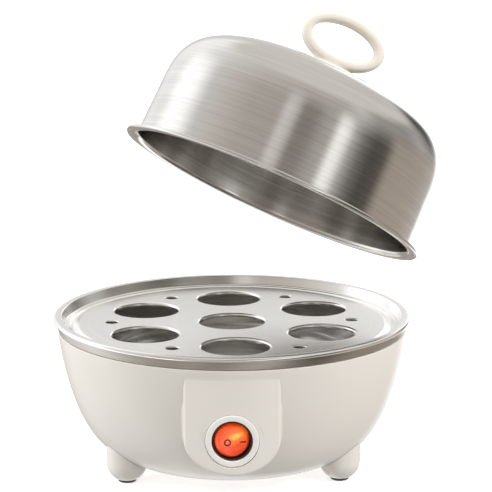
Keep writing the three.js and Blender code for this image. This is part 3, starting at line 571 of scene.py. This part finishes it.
def switch_boss(name, inset=0.0, top=BOWL_TOP - 3, edge=1.5, flare=1.2):
    """The boss as a block: a curved face, a rounded front edge and a fillet where its wall meets the bowl."""
    middle = np.array([0.0, (top + SWITCH_HEIGHT) / 2])
    core = u_outline(inset + edge, top - edge)
    rows = []
    for k in range(1, 13):
        points = middle + (core - middle) * (k / 13) ** 0.75
        rows.append(u_row(points, boss_face(points, inset)))
    for k in range(9):
        angle = math.radians(90 * k / 8)
        points = u_outline(inset + edge * (1 - math.sin(angle)), top - edge * (1 - math.sin(angle)))
        rows.append(u_row(points, boss_face(points, inset) + edge * (1 - math.cos(angle))))
    outer = u_outline(inset, top)
    front = rows[-1][:, 1]
    away = outer - np.roll(outer, 1, 0) + np.roll(outer, -1, 0) - outer
    away = np.stack([away[:, 1], -away[:, 0]], 1)
    away /= np.linalg.norm(away, axis=1)[:, None]
    if (away * (outer - middle)).sum() < 0:
        away = -away
    if flare:
        wall = -np.sqrt(np.maximum(bowl_radius(outer[:, 1]) ** 2 - outer[:, 0] ** 2, 1))
        room = np.clip((wall - front - flare) / flare, 0, 1)
        reach = flare * room
        start = np.maximum(wall - reach, front + 0.05)
        for k in range(1, 9):
            rows.append(u_row(outer, front + (start - front) * k / 8))
        for k in range(1, 8):
            angle = math.radians(90 * k / 7)
            points = outer + away * (reach * (1 - math.cos(angle)))[:, None]
            level = -np.sqrt(np.maximum(bowl_radius(points[:, 1]) ** 2 - points[:, 0] ** 2, 1))
            drop = (level - 0.03 - start) * math.sin(angle)
            rows.append(u_row(points, start + drop))
        outer = points
    rows.append(u_row(outer, -60.0))
    tip = (middle[0], boss_face(middle[None], inset)[0], middle[1])
    return loft(name, rows, start=tip)


def bowl_housing():
    outer = bowl_line(0, 90, 0.58, BOWL_TOP - 0.35)
    inner = bowl_line(BOWL_WALL, 60, 5, SHELF_UNDERSIDE)[::-1]
    recess = COVER_RADIUS + GAP
    cover_seat = 2.6
    opening = 37.5
    edge = BOWL_TOP - 0.35
    shoulder = [(LEDGE_RADIUS, edge), (BOWL_RADIUS - 0.02, edge), outer[3]]
    rebate = [outer[-2], (recess, outer[-1][1]), (recess, cover_seat)]
    profile = [
        *fillet(shoulder, 0.5, 4, False)[1:-1],
        *outer[3:-1],
        *fillet(rebate, 0.3, 3, False)[1:-1],
        (recess, cover_seat),
        (opening, cover_seat),
        (opening, 5),
        *inner,
        (SHELF_INSIDE, SHELF_UNDERSIDE),
        (SHELF_INSIDE, SHELF_TOP),
        (LEDGE_RADIUS, SHELF_TOP),
        (LEDGE_RADIUS, BOWL_TOP - 0.65),
        (LEDGE_RADIUS + 0.3, edge),
    ]
    bowl = lathe("bowl_shell", profile, 256)
    boss = switch_boss("boss")
    carve(boss, [("DIFFERENCE", bowl_solid("inside", BOWL_WALL, SHELF_UNDERSIDE))])
    root = 58
    stub = [(0, root), (CORD_BOSS_RADIUS, root), (CORD_BOSS_RADIUS, CORD_BOSS_FACE), (0, CORD_BOSS_FACE)]
    rear = move(0, 0, CORD_HEIGHT) @ turn(-90, "X")
    cord = lathe("cord_boss", fillet(stub, [0, 0, 1.4, 0], 6), 96, rear)
    carve(cord, [("DIFFERENCE", bowl_solid("inside", BOWL_WALL, SHELF_UNDERSIDE))])
    front = front_axis(0, SWITCH_HEIGHT)
    cord_wall = CORD_BOSS_RADIUS - BOWL_WALL
    steps = [
        ("UNION", boss),
        ("UNION", cord),
        ("DIFFERENCE", switch_boss("boss_inside", BOWL_WALL, BOWL_TOP - 9, 0.6, 0)),
        ("DIFFERENCE", disc("cord_inside", cord_wall, 57, CORD_BOSS_FACE - BOWL_WALL, 64, rear)),
        ("UNION", disc("switch_pad", BEZEL_RADIUS + 2.6, 84.9, 88.3, 96, front)),
        ("DIFFERENCE", disc("pocket", BEZEL_RADIUS + GAP, -POCKET_FLOOR, 100, 128, front)),
        ("DIFFERENCE", disc("hole", SWITCH_RADIUS + GAP, 70, 101, 96, front)),
        ("DIFFERENCE", disc("cord_hole", 5.5, 70, 95, 64, rear)),
    ]
    carve(bowl, steps, 28)
    finish_piece(bowl, "base", CREAM, "bowl_housing")
    for name, angle in FOOT_ANGLES.items():
        post_top = floor_of("element_bracket") - GAP
        post = [(1.5, 8), (5.5, 8), (5.5, post_top), (1.5, post_top)]
        post_place = move(*round_z(FOOT_CIRCLE, angle), 0)
        obj = lathe("bowl_post_" + name, fillet(post, 0.3, 3), 48, post_place)
        finish_piece(obj, "base", CREAM)


# ------------------------------------------------------------------ screws, cover and feet
def cross_screw(name, head, height, length, place, shank=1.3):
    """A pan-head screw pointing up, its head's face at z = 0, with a cross recess."""
    profile = [(0, 0), (head * 0.55, 0.04), (head, height * 0.45), (head, height), (shank, height)]
    profile = fillet(profile, [0, head, 0.25, 0.1, 0], 4, False)
    for k in range(int((length - height - 1.5) / 0.9)):
        z = height + 0.4 + 0.9 * k
        profile += [(shank - 0.22, z), (shank, z + 0.45)]
    profile += [(0.35, length - 0.2), (0, length)]
    screw = lathe(name, profile, 40)
    steps = []
    for angle in (0, 90):
        arm = bmesh.new()
        bmesh.ops.create_cube(arm, size=1)
        size = Matrix.Diagonal((head * 1.15, 0.62, height * 1.1, 1))
        arm.transform(turn(angle, "Z") @ size)
        points = [tuple(v.co) for v in arm.verts]
        faces = [tuple(v.index for v in f.verts) for f in arm.faces]
        arm.free()
        steps.append(("DIFFERENCE", make_object("arm", points, faces)))
    carve(screw, steps)
    to_metres = Matrix.Diagonal((MM, MM, MM, 1))
    from_metres = Matrix.Diagonal((1 / MM, 1 / MM, 1 / MM, 1))
    screw.data.transform(to_metres @ place @ from_metres)
    return screw


def block(name, x0, x1, y0, y1, z0, z1, place=None, bevel=0.0):
    """A box with softened edges."""
    bm = bmesh.new()
    bmesh.ops.create_cube(bm, size=1)
    size = Matrix.Diagonal((x1 - x0, y1 - y0, z1 - z0, 1))
    bm.transform(move((x0 + x1) / 2, (y0 + y1) / 2, (z0 + z1) / 2) @ size)
    if bevel:
        bmesh.ops.bevel(bm, geom=bm.edges, offset=bevel, segments=3, profile=0.5, affect="EDGES")
    if place is not None:
        bm.transform(place)
    points = [tuple(v.co) for v in bm.verts]
    faces = [tuple(v.index for v in f.verts) for f in bm.faces]
    bm.free()
    return make_object(name, points, faces)


def bottom_cover():
    edge = COVER_RADIUS
    raised = [(0, 0), (edge - 0.8, 0), (edge, 0.8), (edge, COVER_THICKNESS), (0, COVER_THICKNESS)]
    cover = lathe("underside_cover", fillet(raised, [0, 0.6, 0.6, 0.2, 0], 4), 160)
    steps = []
    for angle in range(0, 360, 60):
        place = turn(angle, "Z")
        steps.append(("DIFFERENCE", block("vent", 15, 29, -1.4, 1.4, -1, 5, place, 0.9)))
    for angle in COVER_SCREWS.values():
        place = move(*round_z(COVER_SCREW_CIRCLE, angle), 0)
        steps.append(("DIFFERENCE", disc("recess", 3.3, -1, 1.2, 48, place)))
        steps.append(("DIFFERENCE", disc("bore", 1.6, -1, 5, 32, place)))
    carve(cover, steps)
    finish_piece(cover, "base", COVER_CREAM, "bottom_cover")
    for node, angle in COVER_SCREWS.items():
        place = move(*round_z(COVER_SCREW_CIRCLE, angle), 0.1)
        screw = cross_screw("underside_" + node, 2.8, 0.95, 7.8, place)
        finish_piece(screw, "base", SCREW, node)


def feet():
    drop = FOOT_SHOULDER - FLOOR_LEVEL
    root = 26
    seat = -0.6
    for name, angle in FOOT_ANGLES.items():
        place = move(*round_z(FOOT_CIRCLE, angle), 0)
        skin = arc(0, FOOT_SHOULDER, FOOT_RADIUS, drop, -56, 0, 20)
        bottom = skin[0][1]
        bore = [(1.6, root), (1.6, seat), (3.1, seat), (3.1, bottom + 0.25), (3.35, bottom)]
        profile = [*bore, *skin, (FOOT_RADIUS, root)]
        foot = lathe("foot_stub_" + name, profile, 72, place)
        carve(foot, [("DIFFERENCE", bowl_solid("bowl_cut", -0.1, BOWL_TOP))], 35)
        finish_piece(foot, "base", CREAM, "foot_" + name)
        pad_top = FLOOR_LEVEL + PAD_THICKNESS
        pad = [(0, FLOOR_LEVEL), (PAD_RADIUS, FLOOR_LEVEL), (PAD_RADIUS, pad_top), (0, pad_top)]
        pad = lathe("foot_pad_disc_" + name, fillet(pad, [0, 0.8, 0.3, 0], 5), 56, place)
        finish_piece(pad, "base", RUBBER, "foot_pad_" + name)
        head = floor_of("foot_screw_" + name)
        screw = cross_screw("foot_fixing_" + name, 2.7, 1.8, 17.8, move(*round_z(FOOT_CIRCLE, angle), head))
        finish_piece(screw, "base", SCREW, "foot_screw_" + name)


# ------------------------------------------------------------------ band, pan and gasket
def rim_band():
    top = RIM_TOP - 1.2
    low, step = BOWL_TOP - 0.1, BOWL_TOP + 0.8
    seat, inside, outside = 86.6, 87.2, 88
    profile = [(seat, low), (outside - 0.1, low), (outside, top), (inside, top), (inside, step), (seat, step)]
    band = lathe("rim_band", fillet(profile, [0.1, 0.25, 0.3, 0.1, 0.2, 0.1], 4), 256)
    finish_piece(band, "base", RIM_STEEL, "trim_band")


def water_pan():
    corner = 12
    flange = SHELF_TOP + 2.1
    edge = 85.4
    outer = [(0, PAN_FLOOR), *arc(PAN_FLOOR_RADIUS, PAN_FLOOR + corner, corner, corner, -90, -25, 16),
             (78.4, flange - 0.6), (79.2, flange), (edge, flange)]
    inner_corner = corner - PAN_SHEET
    inner = [(edge, flange + PAN_SHEET), (78.6, flange + PAN_SHEET), (77.6, flange - 0.4),
             *arc(PAN_FLOOR_RADIUS, PAN_FLOOR + corner, inner_corner, inner_corner, -25, -90, 16),
             (0, PAN_FLOOR + PAN_SHEET)]
    radii = [0] * 18 + [1.0, 0.6, 0.2, 0.2, 1.6, 1.2] + [0] * 18
    pan = lathe("water_pan", fillet(outer + inner, radii, 5), 200)
    finish_piece(pan, "base", PAN_STEEL, "heating_pan")
    seal = [(80.2, SHELF_TOP + GAP), (85, SHELF_TOP + GAP), (85, flange - GAP), (80.2, flange - GAP)]
    seal = lathe("pan_seal", fillet(seal, 0.35, 4), 160)
    finish_piece(seal, "base", SILICONE, "pan_gasket")


# ------------------------------------------------------------------ switch
def switch():
    front = front_axis(0, SWITCH_HEIGHT)
    hole, face = SWITCH_RADIUS + GAP, -BEZEL_FACE
    back = -POCKET_FLOOR + GAP
    profile = [(hole, back), (BEZEL_RADIUS + 0.18, back), (BEZEL_RADIUS + 0.18, face), (hole, face)]
    bezel = lathe("switch_ring", fillet(profile, [0.1, 0.1, 0.7, 0.55], 6), 128, front)
    finish_piece(bezel, "base", BEZEL_CREAM, "switch_bezel")

    inside, rear, lip, shelf = 7.6, 66, 88.6, 83.6
    well = ROCKER_RADIUS + 0.45
    barrel = [(inside, rear), (SWITCH_RADIUS, rear), (SWITCH_RADIUS, lip), (well, lip), (well, shelf),
              (inside, shelf)]
    body = lathe("switch_barrel", fillet(barrel, [0.2, 0.6, 0.25, 0.2, 0.1, 0.1], 4), 96, front)
    finish_piece(body, "base", BLACK, "switch_body")
    back_wall = disc("switch_back", 7.5, 66.2, 68.8, 64, front)
    finish_piece(back_wall, "base", BLACK)

    pivot = move(0, ROCKER_PIVOT * MM, 0)
    tilt = pivot @ turn(ROCKER_TILT, "Z") @ pivot.inverted()
    profile = [(0, 84.5), (ROCKER_RADIUS - 0.4, 84.5), (ROCKER_RADIUS, 86.2), (ROCKER_RADIUS - 0.15, 87.2),
               (7.05, 88.75), (6.75, 88.92), (6.5, 88.8), (3.5, 89.08), (0, 89.15)]
    rocker = lathe("rocker_button", fillet(profile, [0, 0.3, 0.4, 0.4, 0.25, 0.2, 0.2, 2, 0], 5), 96, front)
    finish_piece(rocker, "rocker", amber_rocker(), "switch_rocker", tilt)
    ring = [(1.0, 88.8), (1.72, 88.8), (1.72, 89.2), (1.0, 89.2)]
    off_mark = lathe("rocker_mark_off", fillet(ring, 0.12, 3), 48, front_axis(-2.6, SWITCH_HEIGHT - 0.4))
    finish_piece(off_mark, "rocker", MARK, place=tilt)
    level = SWITCH_HEIGHT - 0.85, SWITCH_HEIGHT - 0.1
    bar = block("rocker_mark_on", 2.9, 6.1, -89.1, -88.6, *level, bevel=0.15)
    finish_piece(bar, "rocker", MARK, place=tilt)


def cord_gland():
    back = CORD_BOSS_FACE + GAP
    bore, neck, flange = 3.4, 5.2, 8.5
    inner_end, outer_end = back - 6.3, back + 3
    profile = [(bore, inner_end), (neck, inner_end), (neck, back), (flange, back), (flange, back + 1.2),
               (6.6, outer_end), (bore, outer_end)]
    rear = move(0, 0, CORD_HEIGHT) @ turn(-90, "X")
    gland = lathe("cord_bush", fillet(profile, [0.2, 0.3, 0.2, 0.3, 0.5, 0.5, 0.6], 4), 96, rear)
    finish_piece(gland, "base", BLACK, "cord_gland")


# ------------------------------------------------------------------ egg tray
def egg_tray():
    """One pressed sheet: a plate with seven seats and six steam holes, a stepped edge and a rolled rim."""
    bm = bmesh.new()

    def loop(radius, z, centre=(0, 0), count=192):
        angles = [2 * math.pi * k / count for k in range(count)]
        verts = [(centre[0] + radius * math.cos(a), centre[1] + radius * math.sin(a), z) for a in angles]
        return [bm.verts.new(tuple(c * MM for c in v)) for v in verts]

    def bridge(a, b):
        for k in range(len(a)):
            bm.faces.new((a[k - 1], a[k], b[k], b[k - 1]))

    def chain(first, line, centre=(0, 0)):
        last = first
        for radius, z in line:
            following = loop(radius, z, centre, len(first))
            bridge(last, following)
            last = following

    groove, ledge = RIM_TOP - 5.8, RIM_TOP - 5.1
    step = fillet([(76.9, PLATE), (77.6, PLATE), (80.3, groove), (81.4, groove), (82.3, ledge), (84.9, ledge),
                   (86.3, RIM_TOP - 0.02), (RIM_RADIUS - 1.1, RIM_TOP)],
                  [0, 0.9, 0.7, 0.45, 0.5, 0.9, 0.55, 0], 5, False)
    roll = arc(RIM_RADIUS - 1.1, RIM_TOP - 1.1, 1.1, 1.1, 85, -165, 18)
    outer = loop(76.4, PLATE)
    rims = [outer]
    chain(outer, step + roll)
    seats = [(0, 0)] + [round_z(EGG_CIRCLE, -90 + TRAY_TURN + 60 * k) for k in range(6)]
    steam = [round_z(STEAM_CIRCLE, -60 + TRAY_TURN + 60 * k) for k in range(6)]
    for centre in seats:
        rims.append(loop(SEAT_RADIUS + 2.1, PLATE, centre, 72))
        lip = arc(SEAT_RADIUS + 1.3, PLATE - 1.3, 1.3, 1.3, 90, 180, 8)
        chain(rims[-1], [*lip, (SEAT_RADIUS, PLATE - 1.9)], centre)
    for centre in steam:
        rims.append(loop(STEAM_RADIUS + 1.1, PLATE, centre, 40))
        chain(rims[-1], arc(STEAM_RADIUS + 0.5, PLATE - 0.5, 0.5, 0.5, 90, 180, 5), centre)
    edges = [e for rim in rims for k in range(len(rim)) if (e := bm.edges.get((rim[k - 1], rim[k])))]
    bmesh.ops.triangle_fill(bm, use_beauty=True, use_dissolve=False, edges=edges, normal=(0, 0, 1))
    bmesh.ops.recalc_face_normals(bm, faces=bm.faces)
    plate = [f for f in bm.faces if abs(f.normal.z) > 0.99]
    if sum(f.normal.z * f.calc_area() for f in plate) < 0:
        bmesh.ops.reverse_faces(bm, faces=bm.faces)
    mesh = bpy.data.meshes.new("tray_sheet")
    bm.to_mesh(mesh)
    bm.free()
    tray = bpy.data.objects.new("tray_sheet", mesh)
    bpy.context.scene.collection.objects.link(tray)
    solidify = tray.modifiers.new("thickness", "SOLIDIFY")
    solidify.thickness = 0.65 * MM
    solidify.offset = -1
    solidify.use_even_offset = False
    bake(tray, 40)
    finish_piece(tray, "tray", TRAY_STEEL, "egg_tray")


# ------------------------------------------------------------------ lid and handle
def lid():
    dome = []
    count = 48
    shoulder = LID_WALL - 0.6
    rise = LID_HEIGHT - LID_WALL_HEIGHT
    for k in range(count + 1):
        angle = math.radians(90 * k / count)
        r = shoulder * math.cos(angle) ** (2 / LID_POWER) if k < count else 0
        dome.append((r, LID_WALL_HEIGHT + rise * math.sin(angle) ** (2 / LID_POWER)))
    lip = 0.95
    flange = [(LID_RADIUS - 1.6, LID_SHEET), (LID_WALL, LID_SHEET), (LID_WALL - 0.3, 16)]
    wall = fillet([*flange, (shoulder, LID_WALL_HEIGHT)], [0, 2.6, 0, 0], 10, False)
    outer = [*wall[:-1], *dome]
    skin = [p for k, p in enumerate(outer) if k == 0 or math.dist(p, outer[k - 1]) > 1e-3]
    inner = offset_line(skin, LID_SHEET)
    inner[-1] = (0, LID_HEIGHT - LID_SHEET)
    bead = arc(LID_RADIUS - lip, lip, lip, lip, 112, -130, 16)
    inner = [p for p in inner if p[0] < LID_RADIUS - 2.2]
    profile = [*inner[::-1], *bead[::-1], *skin]
    shell = lathe("lid_shell", profile, 256)
    steps = [
        ("DIFFERENCE", disc("screw_hole", 2.3, LID_HEIGHT - 4, LID_HEIGHT + 3, 48)),
        ("DIFFERENCE", disc("vent_hole", 1.6, LID_HEIGHT - 12, LID_HEIGHT + 2, 48, move(0, 32, 0))),
    ]
    carve(shell, steps)
    finish_piece(shell, "lid", LID_STEEL, "lid_dome", LID_PLACE)

    gasket_top = LID_HEIGHT + GAP + 0.8
    seal = [(2.3, LID_HEIGHT + 0.05), (9, LID_HEIGHT - 0.1), (9, gasket_top), (2.3, gasket_top)]
    seal = lathe("handle_seal", fillet(seal, 0.25, 4), 96)
    finish_piece(seal, "lid", SILICONE, "lid_handle_gasket", LID_PLACE)
    under = LID_HEIGHT - LID_SHEET - GAP - 0.1
    washer = [(2.3, under - 1), (7, under - 1), (7, under), (2.3, under)]
    washer = lathe("handle_washer", fillet(washer, 0.2, 3), 96)
    finish_piece(washer, "lid", ZINC, "lid_handle_washer", LID_PLACE)
    screw = cross_screw("handle_screw", 3.6, 1.9, 8.5, move(0, 0, under - 1 - GAP - 2))
    finish_piece(screw, "lid", SCREW, "lid_handle_screw", LID_PLACE)


def handle():
    """An oval loop on a flared foot, moulded in one."""
    foot_level = LID_HEIGHT + GAP + 0.8 + GAP
    centre = foot_level + LOOP_RISE
    in_wide, in_high = LOOP_HALF_WIDTH - LOOP_BAR, LOOP_HALF_HEIGHT - LOOP_BAR
    rows = []
    for k in range(120):
        a = 2 * math.pi * k / 120
        outside = np.array([LOOP_HALF_WIDTH * math.cos(a), LOOP_HALF_HEIGHT * math.sin(a)])
        inside = np.array([in_wide * math.cos(a), in_high * math.sin(a)])
        row = []
        for j in range(28):
            b = 2 * math.pi * j / 28
            u = math.copysign(abs(math.cos(b)) ** (2 / LOOP_SQUARENESS), math.cos(b))
            v = math.copysign(abs(math.sin(b)) ** (2 / LOOP_SQUARENESS), math.sin(b))
            x, z = (outside + inside) / 2 + (outside - inside) / 2 * u
            row.append((x + LOOP_SHIFT, LOOP_HALF_DEPTH * v, centre + z))
        rows.append(row)
    loop = loft("handle_loop", rows, wrap=True)
    foot_rows = []
    # Each row of the foot: how high it is, and its half width and half depth.
    line = [(0, 12.2, 7.6), (0.8, 12.1, 7.5), (1.5, 11.6, 7.0), (2.4, 10.5, 6.1),
            (3.6, 9.8, 5.3), (5.0, 9.9, 4.7), (6.2, 10.7, 4.4), (7.2, 11.8, 4.2)]
    angles = [2 * math.pi * k / 72 for k in range(72)]
    for height, across, deep in line:
        lean = LOOP_SHIFT * height / line[-1][0]
        level = foot_level + height
        foot_rows.append([(across * math.cos(a) + lean, deep * math.sin(a), level) for a in angles])
    foot = loft("handle_foot", foot_rows)
    carve(loop, [("UNION", foot)])
    remesh = loop.modifiers.new("melt", "REMESH")
    remesh.mode = "VOXEL"
    remesh.voxel_size = 0.42 * MM
    smooth = loop.modifiers.new("soften", "SMOOTH")
    smooth.factor = 0.5
    smooth.iterations = 14
    bake(loop, 60)
    finish_piece(loop, "lid", HANDLE_CREAM, "lid_handle", LID_PLACE)


# ------------------------------------------------------------------ CAD pieces that keep their own shape
def dress_inner_nodes():
    looks = {
        "heat_spreader": ALUMINIUM,
        "heating_element": ELEMENT,
        "element_bracket": ZINC,
        "bracket_screw_1": SCREW,
        "bracket_screw_2": SCREW,
        "bracket_screw_3": SCREW,
        "clamp_stud": ZINC,
        "clamp_nut": ZINC,
        "thermostat": CERAMIC,
        "thermostat_clip": ZINC,
        "thermal_fuse": ZINC,
        "fuse_clip": ZINC,
        "switch_contact": BRASS,
        "switch_lamp": LAMP,
        "switch_terminal_1": BRASS,
        "switch_terminal_2": BRASS,
        "terminal_block": CERAMIC,
        "lead_switch_feed": LEADS["red"],
        "lead_thermostat": LEADS["red"],
        "lead_element": LEADS["red"],
        "lead_fuse": LEADS["blue"],
        "lead_return": LEADS["blue"],
        "lead_earth": LEADS["green"],
    }
    for node, look in looks.items():
        materials = frame["nodes"][node].data.materials
        materials.clear()
        materials.append(look)


bowl_housing()
bottom_cover()
feet()
rim_band()
water_pan()
switch()
cord_gland()
egg_tray()
lid()
handle()
dress_inner_nodes()


# ------------------------------------------------------------------ studio and camera
def studio_floor():
    look = Look("floor_paper", Roughness=0.9, Emission_Color=(1, 1, 1, 1), Emission_Strength=0.55)
    grain = look.noise(3, 3)
    look.feed(look.shader, "Base Color", look.mix(grain, (0.93, 0.93, 0.93, 1), (0.95, 0.95, 0.95, 1)))
    bpy.ops.mesh.primitive_plane_add(size=40, location=(0, 0, FLOOR_LEVEL * MM))
    floor = bpy.context.object
    floor.name = "floor"
    floor.data.materials.append(look.material)
    floor.visible_glossy = False
    floor.visible_diffuse = False


# What shiny metal sees round the lid, level with its wall: (degrees from the front, brightness, warmth).
WALL_VIEW = [
    (-180, 0.75, 0.0), (-168, 0.7, 0.0), (-156, 1.1, 0.0), (-134, 1.2, 0.0), (-118, 1.7, -0.01),
    (-102, 1.5, -0.01), (-88, 0.8, 0.0), (-70, 0.66, 0.06), (-48, 0.5, 0.08), (-25, 0.46, 0.08),
    (-20, 0.82, 0.03), (-14, 0.7, 0.04), (-8, 0.24, 0.1),
    (2, 0.27, 0.1), (10, 0.44, 0.06), (18, 0.5, 0.05), (23, 1.4, 0.0), (29, 1.25, 0.0), (35, 0.5, 0.04),
    (44, 0.18, 0.08), (54, 0.07, 0.1), (66, 0.1, 0.1), (75, 0.42, 0.14), (112, 0.46, 0.14), (140, 0.6, 0.06),
    (152, 2.0, 0.0), (174, 2.0, 0.0), (178, 0.9, 0.0), (180, 0.75, 0.0),
]
# The same above the shoulder.
SKY_VIEW = [
    (-180, 0.8, 0.01), (-165, 0.8, 0.01), (-154, 1.3, 0.0), (-130, 1.3, 0.0), (-105, 1.0, 0.0),
    (-80, 0.8, 0.02),
    (-50, 0.66, 0.05), (-16, 0.58, 0.06), (6, 0.56, 0.06), (24, 0.55, 0.05), (38, 0.72, 0.02),
    (56, 0.4, 0.05),
    (90, 0.36, 0.05), (112, 0.52, 0.02), (126, 0.34, 0.02), (138, 0.1, 0.03), (149, 0.12, 0.03),
    (156, 0.7, 0.02), (161, 1.8, 0.0), (172, 1.8, 0.0), (177, 1.0, 0.0), (180, 0.8, 0.01),
]


def reflection_room():
    """A ball that only reflections see: bright windows and dark gaps all round, set square to the lid."""
    look = Look("reflection_room_light")
    x, y, _ = look.add("SeparateXYZ", {"Vector": look.coords}).outputs
    azimuth = look.math("ARCTAN2", x, look.math("MULTIPLY", y, -1.0))
    place = look.span(azimuth, 0, 1, -math.pi, math.pi)

    def view(stops):
        return look.ramp(place, *[((a + 180) / 360, tuple(c / 2 for c in grey(v, w))) for a, v, w in stops])

    def fade(value, start, end):
        inputs = {"Value": value, "From Min": start, "From Max": end}
        return look.add("MapRange", inputs, interpolation_type="SMOOTHSTEP").outputs["Result"]

    direction = look.add("VectorMath", {0: look.coords}, operation="NORMALIZE")
    _, back, height = look.add("SeparateXYZ", {"Vector": direction}).outputs
    up = fade(height, 0.24, 0.56)
    crown = fade(height, 0.66, 0.8)
    behind = look.span(back, 0, 1, 0.86, 0.94)
    below = look.span(height, 0, 1, 0.03, -0.07)
    under = look.math("MULTIPLY", behind, below)
    sides = look.mix(up, view(WALL_VIEW), view(SKY_VIEW))
    domed = look.mix(crown, sides, (0.43, 0.42, 0.4, 1))
    colour = look.mix(under, domed, (0.2, 0.185, 0.165, 1))
    emission = look.add("Emission", {"Color": colour, "Strength": 2.0})
    output = look.tree.nodes["Material Output"]
    look.tree.links.new(emission.outputs[0], output.inputs["Surface"])
    look.tree.nodes.remove(look.shader)
    look.material.cycles.emission_sampling = "NONE"
    bm = bmesh.new()
    bmesh.ops.create_icosphere(bm, subdivisions=5, radius=3)
    mesh = bpy.data.meshes.new("reflection_room")
    bm.to_mesh(mesh)
    bm.free()
    mesh.materials.append(look.material)
    room = bpy.data.objects.new("reflection_room", mesh)
    bpy.context.scene.collection.objects.link(room)
    room.rotation_mode = "QUATERNION"
    room.rotation_quaternion = lifted.to_quaternion()
    room.location = (0, 0, 0.12)
    for ray in ("camera", "diffuse", "transmission", "volume_scatter", "shadow"):
        setattr(room, "visible_" + ray, False)


def softbox(name, place, target, size, watts, colour=(1, 1, 1)):
    data = bpy.data.lights.new(name, "AREA")
    data.shape = "DISK"
    data.size = size
    data.energy = watts
    data.color = colour
    light = bpy.data.objects.new(name, data)
    bpy.context.scene.collection.objects.link(light)
    light.location = place
    light.rotation_mode = "QUATERNION"
    light.rotation_quaternion = (Vector(target) - Vector(place)).to_track_quat("-Z", "Y")
    light.visible_glossy = False


def world_light(below, above):
    """An even white sky, weaker from below."""
    world = bpy.data.worlds.new("studio")
    world.use_nodes = True
    nodes, links = world.node_tree.nodes, world.node_tree.links
    background = nodes["Background"]
    background.inputs["Color"].default_value = (1, 1, 1, 1)
    parts = nodes.new("ShaderNodeSeparateXYZ")
    links.new(nodes.new("ShaderNodeTexCoord").outputs["Generated"], parts.inputs[0])
    level = nodes.new("ShaderNodeMapRange")
    for key, value in {"From Min": -0.35, "From Max": 0.35, "To Min": below, "To Max": above}.items():
        level.inputs[key].default_value = value
    links.new(parts.outputs["Z"], level.inputs["Value"])
    links.new(level.outputs["Result"], background.inputs["Strength"])
    bpy.context.scene.world = world


def camera():
    data = bpy.data.cameras.new("camera")
    data.lens = 129.45
    data.sensor_width = 36
    data.clip_start = 0.05
    data.clip_end = 60
    cam = bpy.data.objects.new("camera", data)
    bpy.context.scene.collection.objects.link(cam)
    cam.location = (0, -0.8744, 0.28605)
    cam.rotation_euler = (math.radians(90 - 11.557), 0, math.radians(-0.466))
    bpy.context.scene.camera = cam


studio_floor()
reflection_room()
softbox("key", (1.2, -0.6, 0.9), (0, 0, 0.05), 0.6, 14.0)
softbox("fill", (-1.4, -0.1, 0.8), (0, 0, 0.05), 0.6, 15.0)
softbox("back", (0.1, 1.0, 1.1), (0, 0, 0.08), 1.0, 8.0)
world_light(0.62, 0.96)
camera()
bpy.context.scene.view_settings.view_transform = "Standard"
